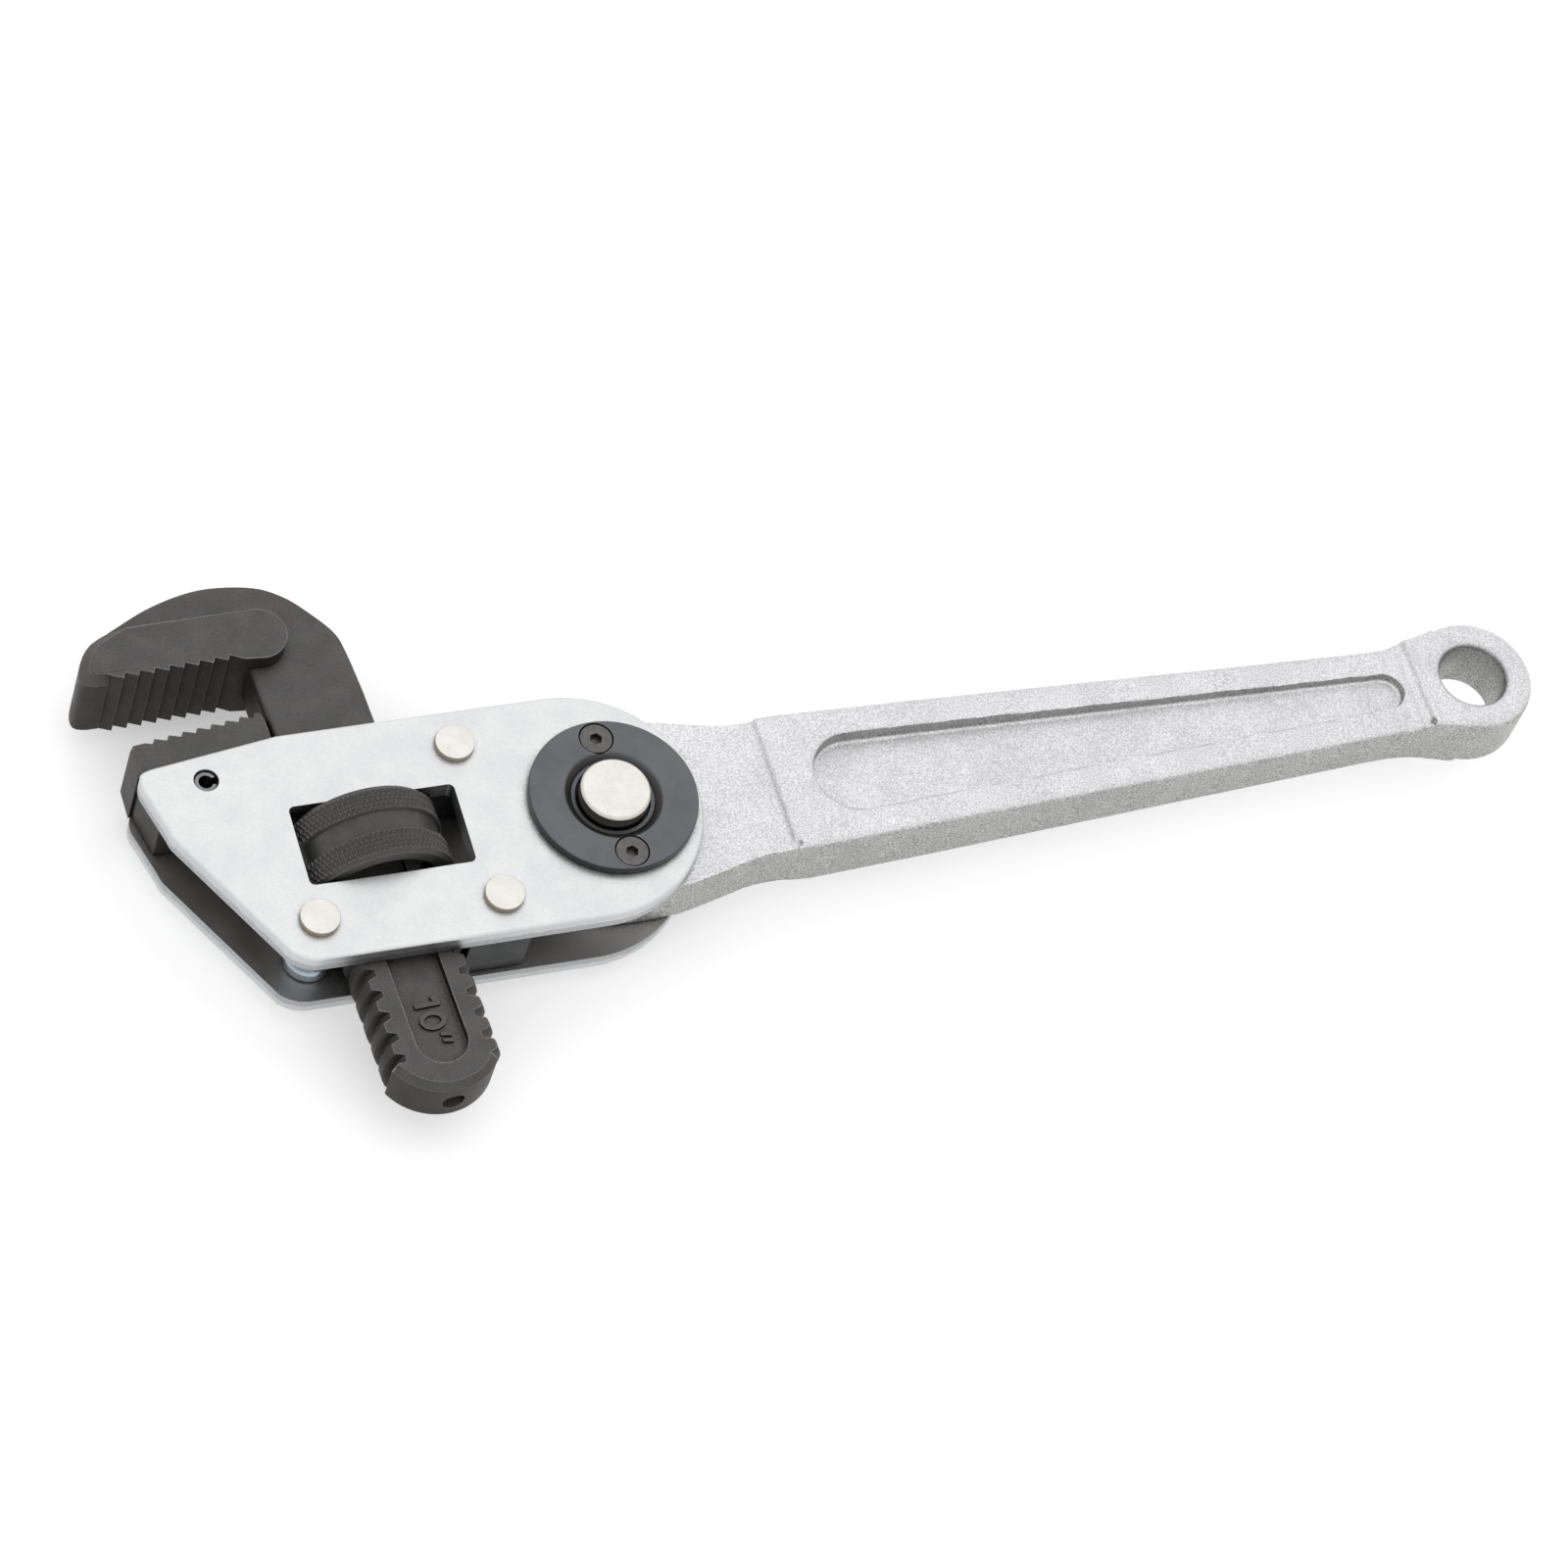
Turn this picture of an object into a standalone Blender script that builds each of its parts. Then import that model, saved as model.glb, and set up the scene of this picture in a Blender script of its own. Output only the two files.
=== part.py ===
"""Pipe wrench: plate frame, threaded hook jaw, and a handle that swings and locks with a button.

Frame: the origin is on the handle's pivot, at the outer face of the rear cover. +X points along
the handle to its hanging eye, +Y to the hook jaw and +Z out of the front plate. Metres.
"""
import math

import bmesh
import bpy
from mathutils import Matrix

# ---- driving dimensions ----
COVER_THICK = 0.0018          # rear cover, and the step that the rear plate stands on
PLATE_THICK = 0.0036
PLATE_GAP = 0.0108            # room between the two plates
FIT = 0.0002                  # air between pieces that sit against each other

REAR_OUT = COVER_THICK
REAR_IN = REAR_OUT + PLATE_THICK
FRONT_IN = REAR_IN + PLATE_GAP
FRONT_OUT = FRONT_IN + PLATE_THICK
MID = (REAR_OUT + FRONT_OUT) / 2
HALF_CORE = PLATE_GAP / 2 - FIT      # half thickness of what sits between the plates

PLATE_TOP = 0.0221
PLATE_BOTTOM = -0.0224
PLATE_END_X = -0.0063         # centre of the plates' round end
WINDOW = (-0.0564, -0.00795, -0.02685, 0.00764)
RIVETS = {
    "rivet_upper": (-0.0246, 0.0152),
    "rivet_lower": (-0.0240, -0.0154),
    "rivet_rear": (-0.0567, -0.0147),
}
RIVET_R = 0.0015
RIVET_HEAD_R = 0.0035
RIVET_HEAD = 0.0010
RIVET_HOLE_R = 0.0017
HEEL_PIN = (-0.0689, 0.0152)
HEEL_PIN_R = 0.0020
HEEL_PIN_HOLE_R = 0.00215

LOCK_HOLE_R = 0.0087
RING_R = 0.0150
RING_TOP = 0.02163
RING_HOLE_R = 0.0066
DISH_R = 0.0089
DISH_FLOOR_R = 0.00735
DISH_DEPTH = 0.0012
SCREW_Y = 0.0115
SCREW_HEAD_R = 0.0029
SCREW_R = 0.0014
SCREW_HOLE_R = 0.0016
BUTTON_R = 0.00627
BUTTON_TOP = 0.02362
LOCK_TEETH = 24
LOCK_TIP_R = 0.0084
LOCK_ROOT_R = 0.0075
LOCK_GEAR = (0.0124, 0.0194)  # lowest and highest point of the sliding gear
SPRING_POCKET_R = 0.0056
SPRING_R = 0.0048
SPRING_WIRE_R = 0.00045

TONGUE_R = 0.0170
TONGUE_HALF = 0.0134
BUSH_R = 0.0114
GRIP_START = 0.0304
GRIP_END = 0.1580
GRIP_WIDE = (0.0140, 0.0422)              # half width at the start, and its loss per metre
GRIP_DEEP = (0.00615, 0.0049)             # half thickness there
POCKET = (0.0464, 0.0078, 0.1501, 0.0036)  # centre and radius of its two round ends
POCKET_FLOOR = 0.0031         # height of a pocket's floor above the middle plane
EYE = (0.16735, 0.0)
EYE_R = 0.01135
EYE_HOLE_R = 0.0062
EYE_HALF = 0.0065
EYE_EASE = 0.0012             # bevel round the eye
HANDLE_TURN = math.radians(0.5)           # play of the lock: the handle rests a little up

NUT_CENTRE = (-0.0429, 0.0)
JAW_TILT = math.radians(3)
THREAD_R = 0.0102
THREAD_ROOT_R = 0.0088
THREAD_PITCH = 0.0042
THREAD_SPAN = (-0.0425, 0.0186)
THREAD_SHIFT = 0.00105         # height of a thread root on the +X side
NOSE_CENTRE = -0.0374
NOSE_R = 0.0109
NUT_R = 0.0141
NUT_HALF = 0.0068
NUT_BORE_R = 0.01045
NUT_GROOVE = (0.0020, 0.0008)  # half width and depth
TOOTH_PITCH = 0.00269
TOOTH_DEPTH = 0.0010
HOOK_FIRST_ROOT = (-0.0351, 0.0405)
HOOK_TEETH = 9
HOOK_BOSS_HALF = 0.0086
HEEL_FIRST_TIP = (-0.0751, 0.0262)
HEEL_LAST_TIP = (-0.05667, 0.02853)
HEEL_TEETH = 8
HEEL_HEAD_HALF = 0.0065

STEEL_ZINC = ((0.80, 0.81, 0.81), 0.38, 1.0)
STEEL_DARK = ((0.085, 0.080, 0.076), 0.55, 0.6)
STEEL_BLACK = ((0.05, 0.05, 0.052), 0.5, 0.7)
STEEL_RING = ((0.16, 0.17, 0.18), 0.42, 0.8)
STEEL_BRIGHT = ((0.78, 0.76, 0.72), 0.3, 1.0)
STEEL_SCREW = ((0.35, 0.35, 0.35), 0.4, 1.0)
CAST_ALUMINIUM = ((0.62, 0.63, 0.63), 0.5, 0.9)


# ---- helpers ----
def clear_scene():
    """Empty the scene that Blender starts with."""
    for obj in list(bpy.data.objects):
        bpy.data.objects.remove(obj)


def material(name, look):
    """Principled material from (colour, roughness, metallic)."""
    colour, roughness, metallic = look
    mat = bpy.data.materials.get(name)
    if mat is None:
        mat = bpy.data.materials.new(name)
        mat.use_nodes = True
        shader = mat.node_tree.nodes["Principled BSDF"]
        shader.inputs["Base Color"].default_value = (*colour, 1.0)
        shader.inputs["Roughness"].default_value = roughness
        shader.inputs["Metallic"].default_value = metallic
    return mat


def solid(name, bm, mat=None, parent=None):
    """Turn a closed bmesh into an object with outward faces."""
    bmesh.ops.remove_doubles(bm, verts=bm.verts, dist=1e-6)
    bmesh.ops.recalc_face_normals(bm, faces=bm.faces)
    mesh = bpy.data.meshes.new(name)
    bm.to_mesh(mesh)
    bm.free()
    mesh.shade_smooth()
    mesh.set_sharp_from_angle(angle=math.radians(30))
    obj = bpy.data.objects.new(name, mesh)
    bpy.context.scene.collection.objects.link(obj)
    obj.parent = parent
    if mat is None:
        obj.hide_render = True
        obj.display_type = "WIRE"
    else:
        mesh.materials.append(mat)
    return obj


def empty(name, place, turn=0.0):
    """Empty that holds a moving body; turn is about Z."""
    obj = bpy.data.objects.new(name, None)
    obj.location = place
    obj.rotation_euler = (0.0, 0.0, turn)
    bpy.context.scene.collection.objects.link(obj)
    return obj


def arc(centre, radius, start, end, steps):
    """Points on an arc, angles in degrees, both ends included."""
    angles = [math.radians(start + (end - start) * i / steps) for i in range(steps + 1)]
    return [(centre[0] + radius * math.cos(a), centre[1] + radius * math.sin(a)) for a in angles]


def circle(centre, radius, steps=16):
    """Points round a full circle."""
    return arc(centre, radius, 0, 360, steps)[:-1]


def smooth(points, steps=3):
    """Curve through the points (Catmull-Rom), both ends included."""
    padded = [points[0], *points, points[-1]]
    out = []
    for a, b, c, d in zip(padded, padded[1:], padded[2:], padded[3:]):
        for i in range(steps):
            t = i / steps
            out.append(tuple(
                0.5 * (2 * q + (r - p) * t + (2 * p - 5 * q + 4 * r - s) * t * t
                       + (3 * q - p - 3 * r + s) * t ** 3)
                for p, q, r, s in zip(a, b, c, d)))
    return out + [points[-1]]


def prism(name, outline, low, high, mat=None, parent=None):
    """Straight solid from an outline in the XY plane."""
    bm = bmesh.new()
    face = bm.faces.new([bm.verts.new((x, y, low)) for x, y in outline])
    raised = bmesh.ops.extrude_face_region(bm, geom=[face])
    top = [item for item in raised["geom"] if isinstance(item, bmesh.types.BMVert)]
    bmesh.ops.translate(bm, verts=top, vec=(0, 0, high - low))
    return solid(name, bm, mat, parent)


def turned(name, profile, mat=None, parent=None, steps=48):
    """Solid turned about Z from a closed profile of (radius, height)."""
    bm = bmesh.new()
    verts = [bm.verts.new((r, 0, z)) for r, z in profile]
    edges = [bm.edges.new(pair) for pair in zip(verts, verts[1:] + verts[:1])]
    bmesh.ops.spin(bm, geom=verts + edges, cent=(0, 0, 0), axis=(0, 0, 1), dvec=(0, 0, 0),
                   angle=math.tau, steps=steps, use_merge=True)
    bmesh.ops.remove_doubles(bm, verts=bm.verts, dist=1e-6)
    on_axis = [e for e in bm.edges if not e.link_faces]
    bmesh.ops.delete(bm, geom=on_axis, context="EDGES")
    return solid(name, bm, mat, parent)


def loft(name, rings, mat=None, parent=None):
    """Closed solid through rings of points, with flat ends."""
    bm = bmesh.new()
    loops = [[bm.verts.new(point) for point in ring] for ring in rings]
    for low, high in zip(loops, loops[1:]):
        for i in range(len(low)):
            j = (i + 1) % len(low)
            bm.faces.new((low[i], low[j], high[j], high[i]))
    bm.faces.new(loops[0])
    bm.faces.new(loops[-1])
    return solid(name, bm, mat, parent)


def boolean(target, tool, operation="DIFFERENCE"):
    """Live Boolean of the target with a hidden tool."""
    step = target.modifiers.new(f"{operation.lower()} {tool.name}", "BOOLEAN")
    step.operation = operation
    step.object = tool
    step.solver = "EXACT"
    tool.hide_render = True
    tool.display_type = "WIRE"


def drill(target, name, centre, radius, low=-0.01, high=0.04, steps=16):
    """Round hole along Z."""
    boolean(target, prism(name, circle(centre, radius, steps), low, high))


# ---- frame ----
def plate_outline():
    """Outline that both frame plates share."""
    end = (PLATE_END_X, (PLATE_TOP + PLATE_BOTTOM) / 2)
    points = [(-0.0803, 0.0160), (-0.0797, 0.0183), (-0.0778, 0.0190), (-0.0549, PLATE_TOP)]
    points += arc(end, (PLATE_TOP - PLATE_BOTTOM) / 2, 90, -90, 24)
    points += arc((-0.0578, -0.0154), 0.0070, -90, -138, 4)
    points += arc((-0.0718, 0.0070), 0.0060, 209, 187, 3)
    return points


def frame_plate(name, low, mat):
    """One side plate with its window and holes."""
    plate = prism(name, plate_outline(), low, low + PLATE_THICK, mat)
    x0, y0, x1, y1 = WINDOW
    window = []
    for corner, start in (((x1, y1), 0), ((x0, y1), 90), ((x0, y0), 180), ((x1, y0), 270)):
        inset = (math.copysign(0.001, corner[0] - (x0 + x1) / 2),
                 math.copysign(0.001, corner[1] - (y0 + y1) / 2))
        centre = (corner[0] - inset[0], corner[1] - inset[1])
        window += arc(centre, 0.001, start, start + 90, 3)
    boolean(plate, prism(f"{name}_window", window, -0.01, 0.04))
    drill(plate, f"{name}_lock_hole", (0, 0), LOCK_HOLE_R, steps=36)
    drill(plate, f"{name}_pin_hole", HEEL_PIN, HEEL_PIN_HOLE_R)
    for rivet, place in RIVETS.items():
        drill(plate, f"{name}_{rivet}_hole", place, RIVET_HOLE_R, steps=12)
    for side in (1, -1):
        drill(plate, f"{name}_screw_hole_{side}", (0, side * SCREW_Y), SCREW_HOLE_R, steps=12)
    return plate


def rivets(mat):
    """Three headed rivets through both plates."""
    for name, (x, y) in RIVETS.items():
        low = REAR_OUT - FIT
        high = FRONT_OUT + FIT
        ease = 0.0002
        half = [(RIVET_R, MID), (RIVET_R, high), (RIVET_HEAD_R, high),
                (RIVET_HEAD_R, high + RIVET_HEAD - ease), (RIVET_HEAD_R - ease, high + RIVET_HEAD),
                (0, high + RIVET_HEAD)]
        mirrored = [(r, low + high - z) for r, z in reversed(half)]
        rivet = turned(name, half + mirrored[:-1], mat, steps=24)
        rivet.location = (x, y, 0)


def heel_jaw(mat):
    """Fixed jaw: a toothed head on the plates and a body pinned between them."""
    teeth = []
    for i in range(HEEL_TEETH):
        part = i / (HEEL_TEETH - 1)
        tip = [a + (b - a) * part for a, b in zip(HEEL_FIRST_TIP, HEEL_LAST_TIP)]
        teeth += [(tip[0] - 0.0004, tip[1] - TOOTH_DEPTH), tuple(tip)]
    head = [(-0.0799, 0.0193), (-0.0799, 0.0242), (-0.0790, 0.0254), (-0.0768, 0.0256), *teeth,
            (-0.0556, 0.0283), (-0.05515, 0.0266), (-0.0549, 0.0225), (-0.0779, 0.0193)]
    body = [(-0.0793, 0.0170), (-0.0793, 0.0215), (-0.0549, 0.0240), (-0.0542, 0.0100),
            (-0.0778, 0.0100)]
    jaw = prism("heel_jaw", head, MID - HEEL_HEAD_HALF, MID + HEEL_HEAD_HALF, mat)
    boolean(jaw, prism("heel_body", body, MID - HALF_CORE, MID + HALF_CORE), "UNION")
    drill(jaw, "heel_pin_hole", HEEL_PIN, HEEL_PIN_HOLE_R)


def heel_pin(mat):
    """Split spring pin, rolled with an open slot."""
    outline = arc((0, 0), HEEL_PIN_R, 20, 340, 20) + arc((0, 0), HEEL_PIN_R - 0.0007, 335, 25, 20)
    pin = prism("heel_jaw_pin", outline, REAR_OUT + FIT, FRONT_OUT - FIT, mat)
    pin.location = (*HEEL_PIN, 0)


def guide_block(name, rivet, low_y, high_y, mat):
    """Hardened block beside the shank, held by a rivet."""
    outline = [(-0.0310, low_y), (-0.0197, low_y), (-0.0197, high_y), (-0.0310, high_y)]
    block = prism(name, outline, MID - HALF_CORE, MID + HALF_CORE, mat)
    drill(block, f"{name}_hole", RIVETS[rivet], RIVET_HOLE_R)


def spacer_sleeve(mat):
    """Sleeve with a foot round the rear rivet."""
    low = MID - HALF_CORE
    high = MID + HALF_CORE
    profile = [(RIVET_HOLE_R, low), (0.0042, low), (0.0042, low + 0.0022), (0.0036, low + 0.0022),
               (0.0036, high), (RIVET_HOLE_R, high)]
    sleeve = turned("spacer_sleeve", profile, mat, steps=24)
    sleeve.location = (*RIVETS["rivet_rear"], 0)


def leaf_spring(mat):
    """Bowed strip behind the shank, hooked over the upper guide block."""
    thick = 0.0005
    bow = [(-0.0318, 0.0094), (-0.0326, 0.0130), (-0.0328, 0.0160), (-0.0324, 0.0190),
           (-0.0317, 0.0208), (-0.0306, 0.0216), (-0.0280, 0.0216)]
    line = smooth(bow, 2)
    back = []
    for i, (x, y) in enumerate(line):
        ahead = line[min(i + 1, len(line) - 1)]
        behind = line[max(i - 1, 0)]
        run = math.hypot(ahead[0] - behind[0], ahead[1] - behind[1])
        back.append((x + thick * (ahead[1] - behind[1]) / run,
                     y - thick * (ahead[0] - behind[0]) / run))
    prism("leaf_spring", line + back[::-1], MID - 0.0042, MID + 0.0042, mat)


# ---- handle lock ----
def screw_profile(reach=0.0):
    """Countersunk screw through the front ring, or with a reach the hole for it."""
    top = RING_TOP + (0.001 if reach else -0.0001)
    cone_top = RING_TOP - 0.0003
    cone_low = cone_top - 0.0013
    start = FRONT_IN + FIT - reach
    return [(0, start), (SCREW_R + reach, start), (SCREW_R + reach, cone_low - reach),
            (SCREW_HEAD_R + reach, cone_top), (SCREW_HEAD_R + reach, top), (0, top)]


def to_rear(profile):
    """A profile made for the front ring, turned over for the rear cover."""
    return [(r, RING_TOP - z) for r, z in reversed(profile)]


def cover_screws(cover, prefix, mat, place_profile):
    """Two screws in a cover and the countersunk holes for them."""
    for side, word in ((1, "upper"), (-1, "lower")):
        place = (0, side * SCREW_Y, 0)
        hole = turned(f"{prefix}_screw_hole_{word}", place_profile(screw_profile(FIT)), steps=20)
        hole.location = place
        boolean(cover, hole)
        screw = turned(f"{prefix}_screw_{word}", place_profile(screw_profile()), mat, steps=20)
        screw.location = place


def lock_covers(ring_mat, screw_mat):
    """Front ring round the button, closed rear cover, and two screws in each."""
    low = FRONT_OUT + FIT
    edge = 0.0004
    ring = [(RING_HOLE_R, low), (RING_R, low), (RING_R, RING_TOP - edge), (RING_R - edge, RING_TOP),
            (DISH_R, RING_TOP), (DISH_FLOOR_R, RING_TOP - DISH_DEPTH),
            (RING_HOLE_R, RING_TOP - DISH_DEPTH)]
    front = turned("front_lock_ring", ring, ring_mat)
    cover_screws(front, "front", screw_mat, list)
    cover = [(0, 0), (RING_R - edge, 0), (RING_R, edge), (RING_R, COVER_THICK - FIT),
             (0, COVER_THICK - FIT)]
    rear = turned("rear_cover", cover, ring_mat)
    cover_screws(rear, "rear", screw_mat, to_rear)


def toothed_outline(tip, root):
    """Outline of the lock's square-cut gear."""
    points = []
    for i in range(LOCK_TEETH):
        middle = 360 * i / LOCK_TEETH
        for offset, radius in ((-5.2, root), (-3.0, tip), (3.0, tip), (5.2, root)):
            angle = math.radians(middle + offset)
            points.append((radius * math.cos(angle), radius * math.sin(angle)))
    return points


def lock_parts(button_mat, gear_mat, spring_mat, pivot):
    """Push button, sliding gear and its spring."""
    ease = 0.0005
    low = LOCK_GEAR[1] + FIT
    profile = [(0, low), (BUTTON_R, low), (BUTTON_R, BUTTON_TOP - ease),
               (BUTTON_R - ease, BUTTON_TOP), (0, BUTTON_TOP)]
    turned("lock_button", profile, button_mat, pivot, steps=40)
    gear = prism("lock_gear", toothed_outline(LOCK_TIP_R, LOCK_ROOT_R), *LOCK_GEAR, gear_mat, pivot)
    pocket = prism("spring_pocket", circle((0, 0), SPRING_POCKET_R, 24), 0, 0.0172, None, pivot)
    boolean(gear, pocket)
    coil_spring(spring_mat)


def coil_spring(mat):
    """Helical spring between the rear cover and the sliding gear."""
    turns = 6
    per_turn = 12
    low = COVER_THICK + SPRING_WIRE_R
    high = 0.0170 - SPRING_WIRE_R
    rings = []
    for i in range(turns * per_turn + 1):
        angle = math.tau * i / per_turn
        height = low + (high - low) * i / (turns * per_turn)
        ring = []
        for side in range(6):
            around = math.tau * side / 6
            reach = SPRING_R + SPRING_WIRE_R * math.cos(around)
            ring.append((reach * math.cos(angle), reach * math.sin(angle),
                         height + SPRING_WIRE_R * math.sin(around)))
        rings.append(ring)
    loft("lock_spring", rings, mat)


# ---- handle ----
def rounded_section(x, half_wide, half_deep, radius=0.002):
    """Ring of points across the grip at x."""
    ring = []
    for sy, sz, start in ((1, 1, 0), (-1, 1, 90), (-1, -1, 180), (1, -1, 270)):
        centre = (sy * (half_wide - radius), sz * (half_deep - radius))
        ring += [(x, y, MID + z) for y, z in arc(centre, radius, start, start + 90, 3)]
    return ring


def pocket_outline():
    """Long tapered pocket in the grip's face."""
    x0, r0, x1, r1 = POCKET
    lean = math.degrees(math.asin((r0 - r1) / (x1 - x0)))
    return arc((x1, 0), r1, lean - 90 + 2 * (90 - lean), lean - 90, 8)[::-1] + arc(
        (x0, 0), r0, 90 - lean, 270 + lean, 14)


def handle(mat, bush_mat, pivot):
    """Cast handle: tongue between the plates, tapered grip with two pockets, hanging eye."""
    left = arc((0, 0), TONGUE_R, 90, 270, 18)
    neck = smooth([left[-1], (0.0090, -0.0169), (0.0150, -0.0158), (0.0200, -0.0146),
                   (0.0240, -0.0137), (0.0280, -TONGUE_HALF), (0.0312, -TONGUE_HALF)], 2)[1:]
    outline = left + neck + [(x, -y) for x, y in reversed(neck)]
    tongue = prism("handle_tongue", outline, MID - HALF_CORE, MID + HALF_CORE)
    start_wide, taper = GRIP_WIDE
    rings = [rounded_section(x, start_wide - taper * (x - GRIP_START), deep) for x, deep in (
        (GRIP_START, GRIP_DEEP[0]), (0.060, GRIP_DEEP[0]), (0.150, GRIP_DEEP[1]),
        (GRIP_END, GRIP_DEEP[1]))]
    grip = loft("handle", rings, mat, pivot)
    boolean(grip, tongue, "UNION")
    low, high = MID - EYE_HALF, MID + EYE_HALF
    flat_r = EYE_R - EYE_EASE
    eye = turned("handle_eye", [(0, low), (flat_r, low), (EYE_R, low + EYE_EASE),
                                (EYE_R, high - EYE_EASE), (flat_r, high), (0, high)], steps=32)
    eye.location = (*EYE, 0)
    boolean(grip, eye, "UNION")
    drill(grip, "handle_bore", (0, 0), BUSH_R + FIT, steps=36)
    drill(grip, "eye_hole", EYE, EYE_HOLE_R, steps=28)
    for side in (1, -1):
        low, high = sorted((MID + side * POCKET_FLOOR, MID + side * 0.012))
        boolean(grip, prism(f"handle_pocket_{side}", pocket_outline(), low, high))
    grip.data.transform(Matrix.Rotation(HANDLE_TURN, 4, "Z"))
    bush = prism("handle_bush", circle((0, 0), BUSH_R, 36), MID - HALF_CORE + 0.0001,
                 MID + HALF_CORE - 0.0001, bush_mat, pivot)
    splines = toothed_outline(LOCK_TIP_R + 0.00015, LOCK_ROOT_R + 0.00015)
    boolean(bush, prism("bush_splines", splines, 0, 0.03))


# ---- hook jaw and nut: drawn upright about the nut's centre, then tilted ----
def thread_radius(height, angle):
    """Radius of the right-hand thread at a height along the shank and an angle round it."""
    phase = ((height - THREAD_SHIFT) / THREAD_PITCH - angle / math.tau) % 1.0
    ramp = min(1.0, max(0.0, 3.4 * abs(2 * phase - 1) - 0.9))
    return THREAD_ROOT_R + (THREAD_R - THREAD_ROOT_R) * ramp


def shank_ring(height):
    """Section of the threaded shank: a circle cut by the two flats."""
    heights = [HALF_CORE * k / 2 for k in (-2, -1, 0, 1, 2)]
    ring = []
    for side, levels in ((1, heights), (-1, heights[::-1])):
        for z in levels:
            angle = math.atan2(z, side * THREAD_ROOT_R)
            radius = thread_radius(height, -angle)
            ring.append((side * math.sqrt(radius ** 2 - z ** 2), height, z))
    return ring


def hook_outline():
    """Back, crown and mouth side of the hook, in the jaw's own upright frame."""
    crown = smooth([(0.0083, 0.0300), (0.0078, 0.0385), (0.0070, 0.0430), (0.0037, 0.0480),
                    (0.0003, 0.0518), (-0.0042, 0.0547), (-0.0114, 0.0562), (-0.0175, 0.0559),
                    (-0.0243, 0.0542), (-0.0305, 0.0516), (-0.0345, 0.0498)], 2)
    return [(-0.0101, 0.0170), (0.0084, 0.0170), *crown, (-0.0370, 0.0460), (-0.0340, 0.0430),
            (-0.0125, 0.0425), (-0.0101, 0.0400)]


def boss_outline():
    """Toothed block of the hook jaw."""
    x0, y0 = HOOK_FIRST_ROOT
    teeth = []
    for i in range(HOOK_TEETH):
        root = (x0 + i * TOOTH_PITCH, y0 - i * 0.00004)
        teeth += [(root[0] - 0.0005, root[1] - TOOTH_DEPTH), root]
    right = arc((-0.0073, 0.0434), 0.00505, -90, 90, 10)
    left = [(-0.0343, 0.0494), (-0.0391, 0.0441), (-0.0394, 0.0412), (-0.0379, 0.0397)]
    return [*left, *teeth, (-0.0115, 0.0389), *right]


def hook_jaw(mat, jaw):
    """Hook jaw: flat-sided threaded shank, rounded nose, hook and toothed block."""
    low, high = THREAD_SPAN
    count = round((high - low) / (THREAD_PITCH / 6))
    rings = [shank_ring(low + (high - low) * i / count) for i in range(count + 1)]
    shank = loft("hook_jaw", rings, mat, jaw)
    nose = arc((0, NOSE_CENTRE), NOSE_R, -25, -155, 14)
    boolean(shank, prism("hook_nose", nose, -HALF_CORE, HALF_CORE, None, jaw), "UNION")
    boolean(shank, prism("hook_web", hook_outline(), -HALF_CORE, HALF_CORE, None, jaw), "UNION")
    boss = prism("hook_boss", boss_outline(), -HOOK_BOSS_HALF, HOOK_BOSS_HALF, None, jaw)
    boolean(shank, boss, "UNION")


def adjusting_nut(mat, jaw):
    """Knurled nut on the shank, with a plain groove between its two bands."""
    ease = 0.0008
    half_groove, groove = NUT_GROOVE
    half = [(NUT_BORE_R, 0), (NUT_R - groove, 0), (NUT_R - groove, half_groove),
            (NUT_R, half_groove + 0.0003), (NUT_R, NUT_HALF - ease), (NUT_R - ease, NUT_HALF),
            (NUT_BORE_R + 0.0004, NUT_HALF), (NUT_BORE_R, NUT_HALF - 0.0004)]
    nut = turned("adjusting_nut", half[1:] + [(r, -z) for r, z in reversed(half[1:])], mat, jaw)
    nut.rotation_euler = (-math.pi / 2, 0, 0)


def build():
    """Make every piece of the wrench."""
    clear_scene()
    zinc = material("zinc plated steel", STEEL_ZINC)
    dark = material("phosphated forged steel", STEEL_DARK)
    black = material("black oxide steel", STEEL_BLACK)
    ring = material("grey oxide ring steel", STEEL_RING)
    bright = material("satin nickel plate", STEEL_BRIGHT)
    screw = material("screw steel", STEEL_SCREW)
    cast = material("sand cast aluminium", CAST_ALUMINIUM)

    frame_plate("front_plate", FRONT_IN, zinc)
    frame_plate("rear_plate", REAR_OUT, zinc)
    rivets(bright)
    heel_jaw(dark)
    heel_pin(black)
    guide_block("upper_guide_block", "rivet_upper", 0.0093, 0.0205, black)
    guide_block("lower_guide_block", "rivet_lower", -0.0216, -0.0093, black)
    spacer_sleeve(zinc)
    leaf_spring(black)
    lock_covers(ring, screw)

    pivot = empty("handle_pivot", (0, 0, 0))
    handle(cast, black, pivot)
    lock_parts(bright, black, bright, pivot)

    jaw = empty("jaw_axis", (*NUT_CENTRE, MID), JAW_TILT)
    hook_jaw(dark, jaw)
    adjusting_nut(dark, jaw)


if __name__ == "__main__":
    build()
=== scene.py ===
"""Looks of a pipe wrench: zinc plated frame, phosphated jaws, sand cast swing handle.

Lengths are in metres. The hook jaw and its nut are modelled upright about the nut's centre, and
then tilted on to the jaw's axis.
"""
from __future__ import annotations

import logging
import math
from collections.abc import Callable, Iterable, Sequence
from dataclasses import dataclass, field
from enum import Enum

import bmesh
import bpy
from mathutils import Matrix, Vector


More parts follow.
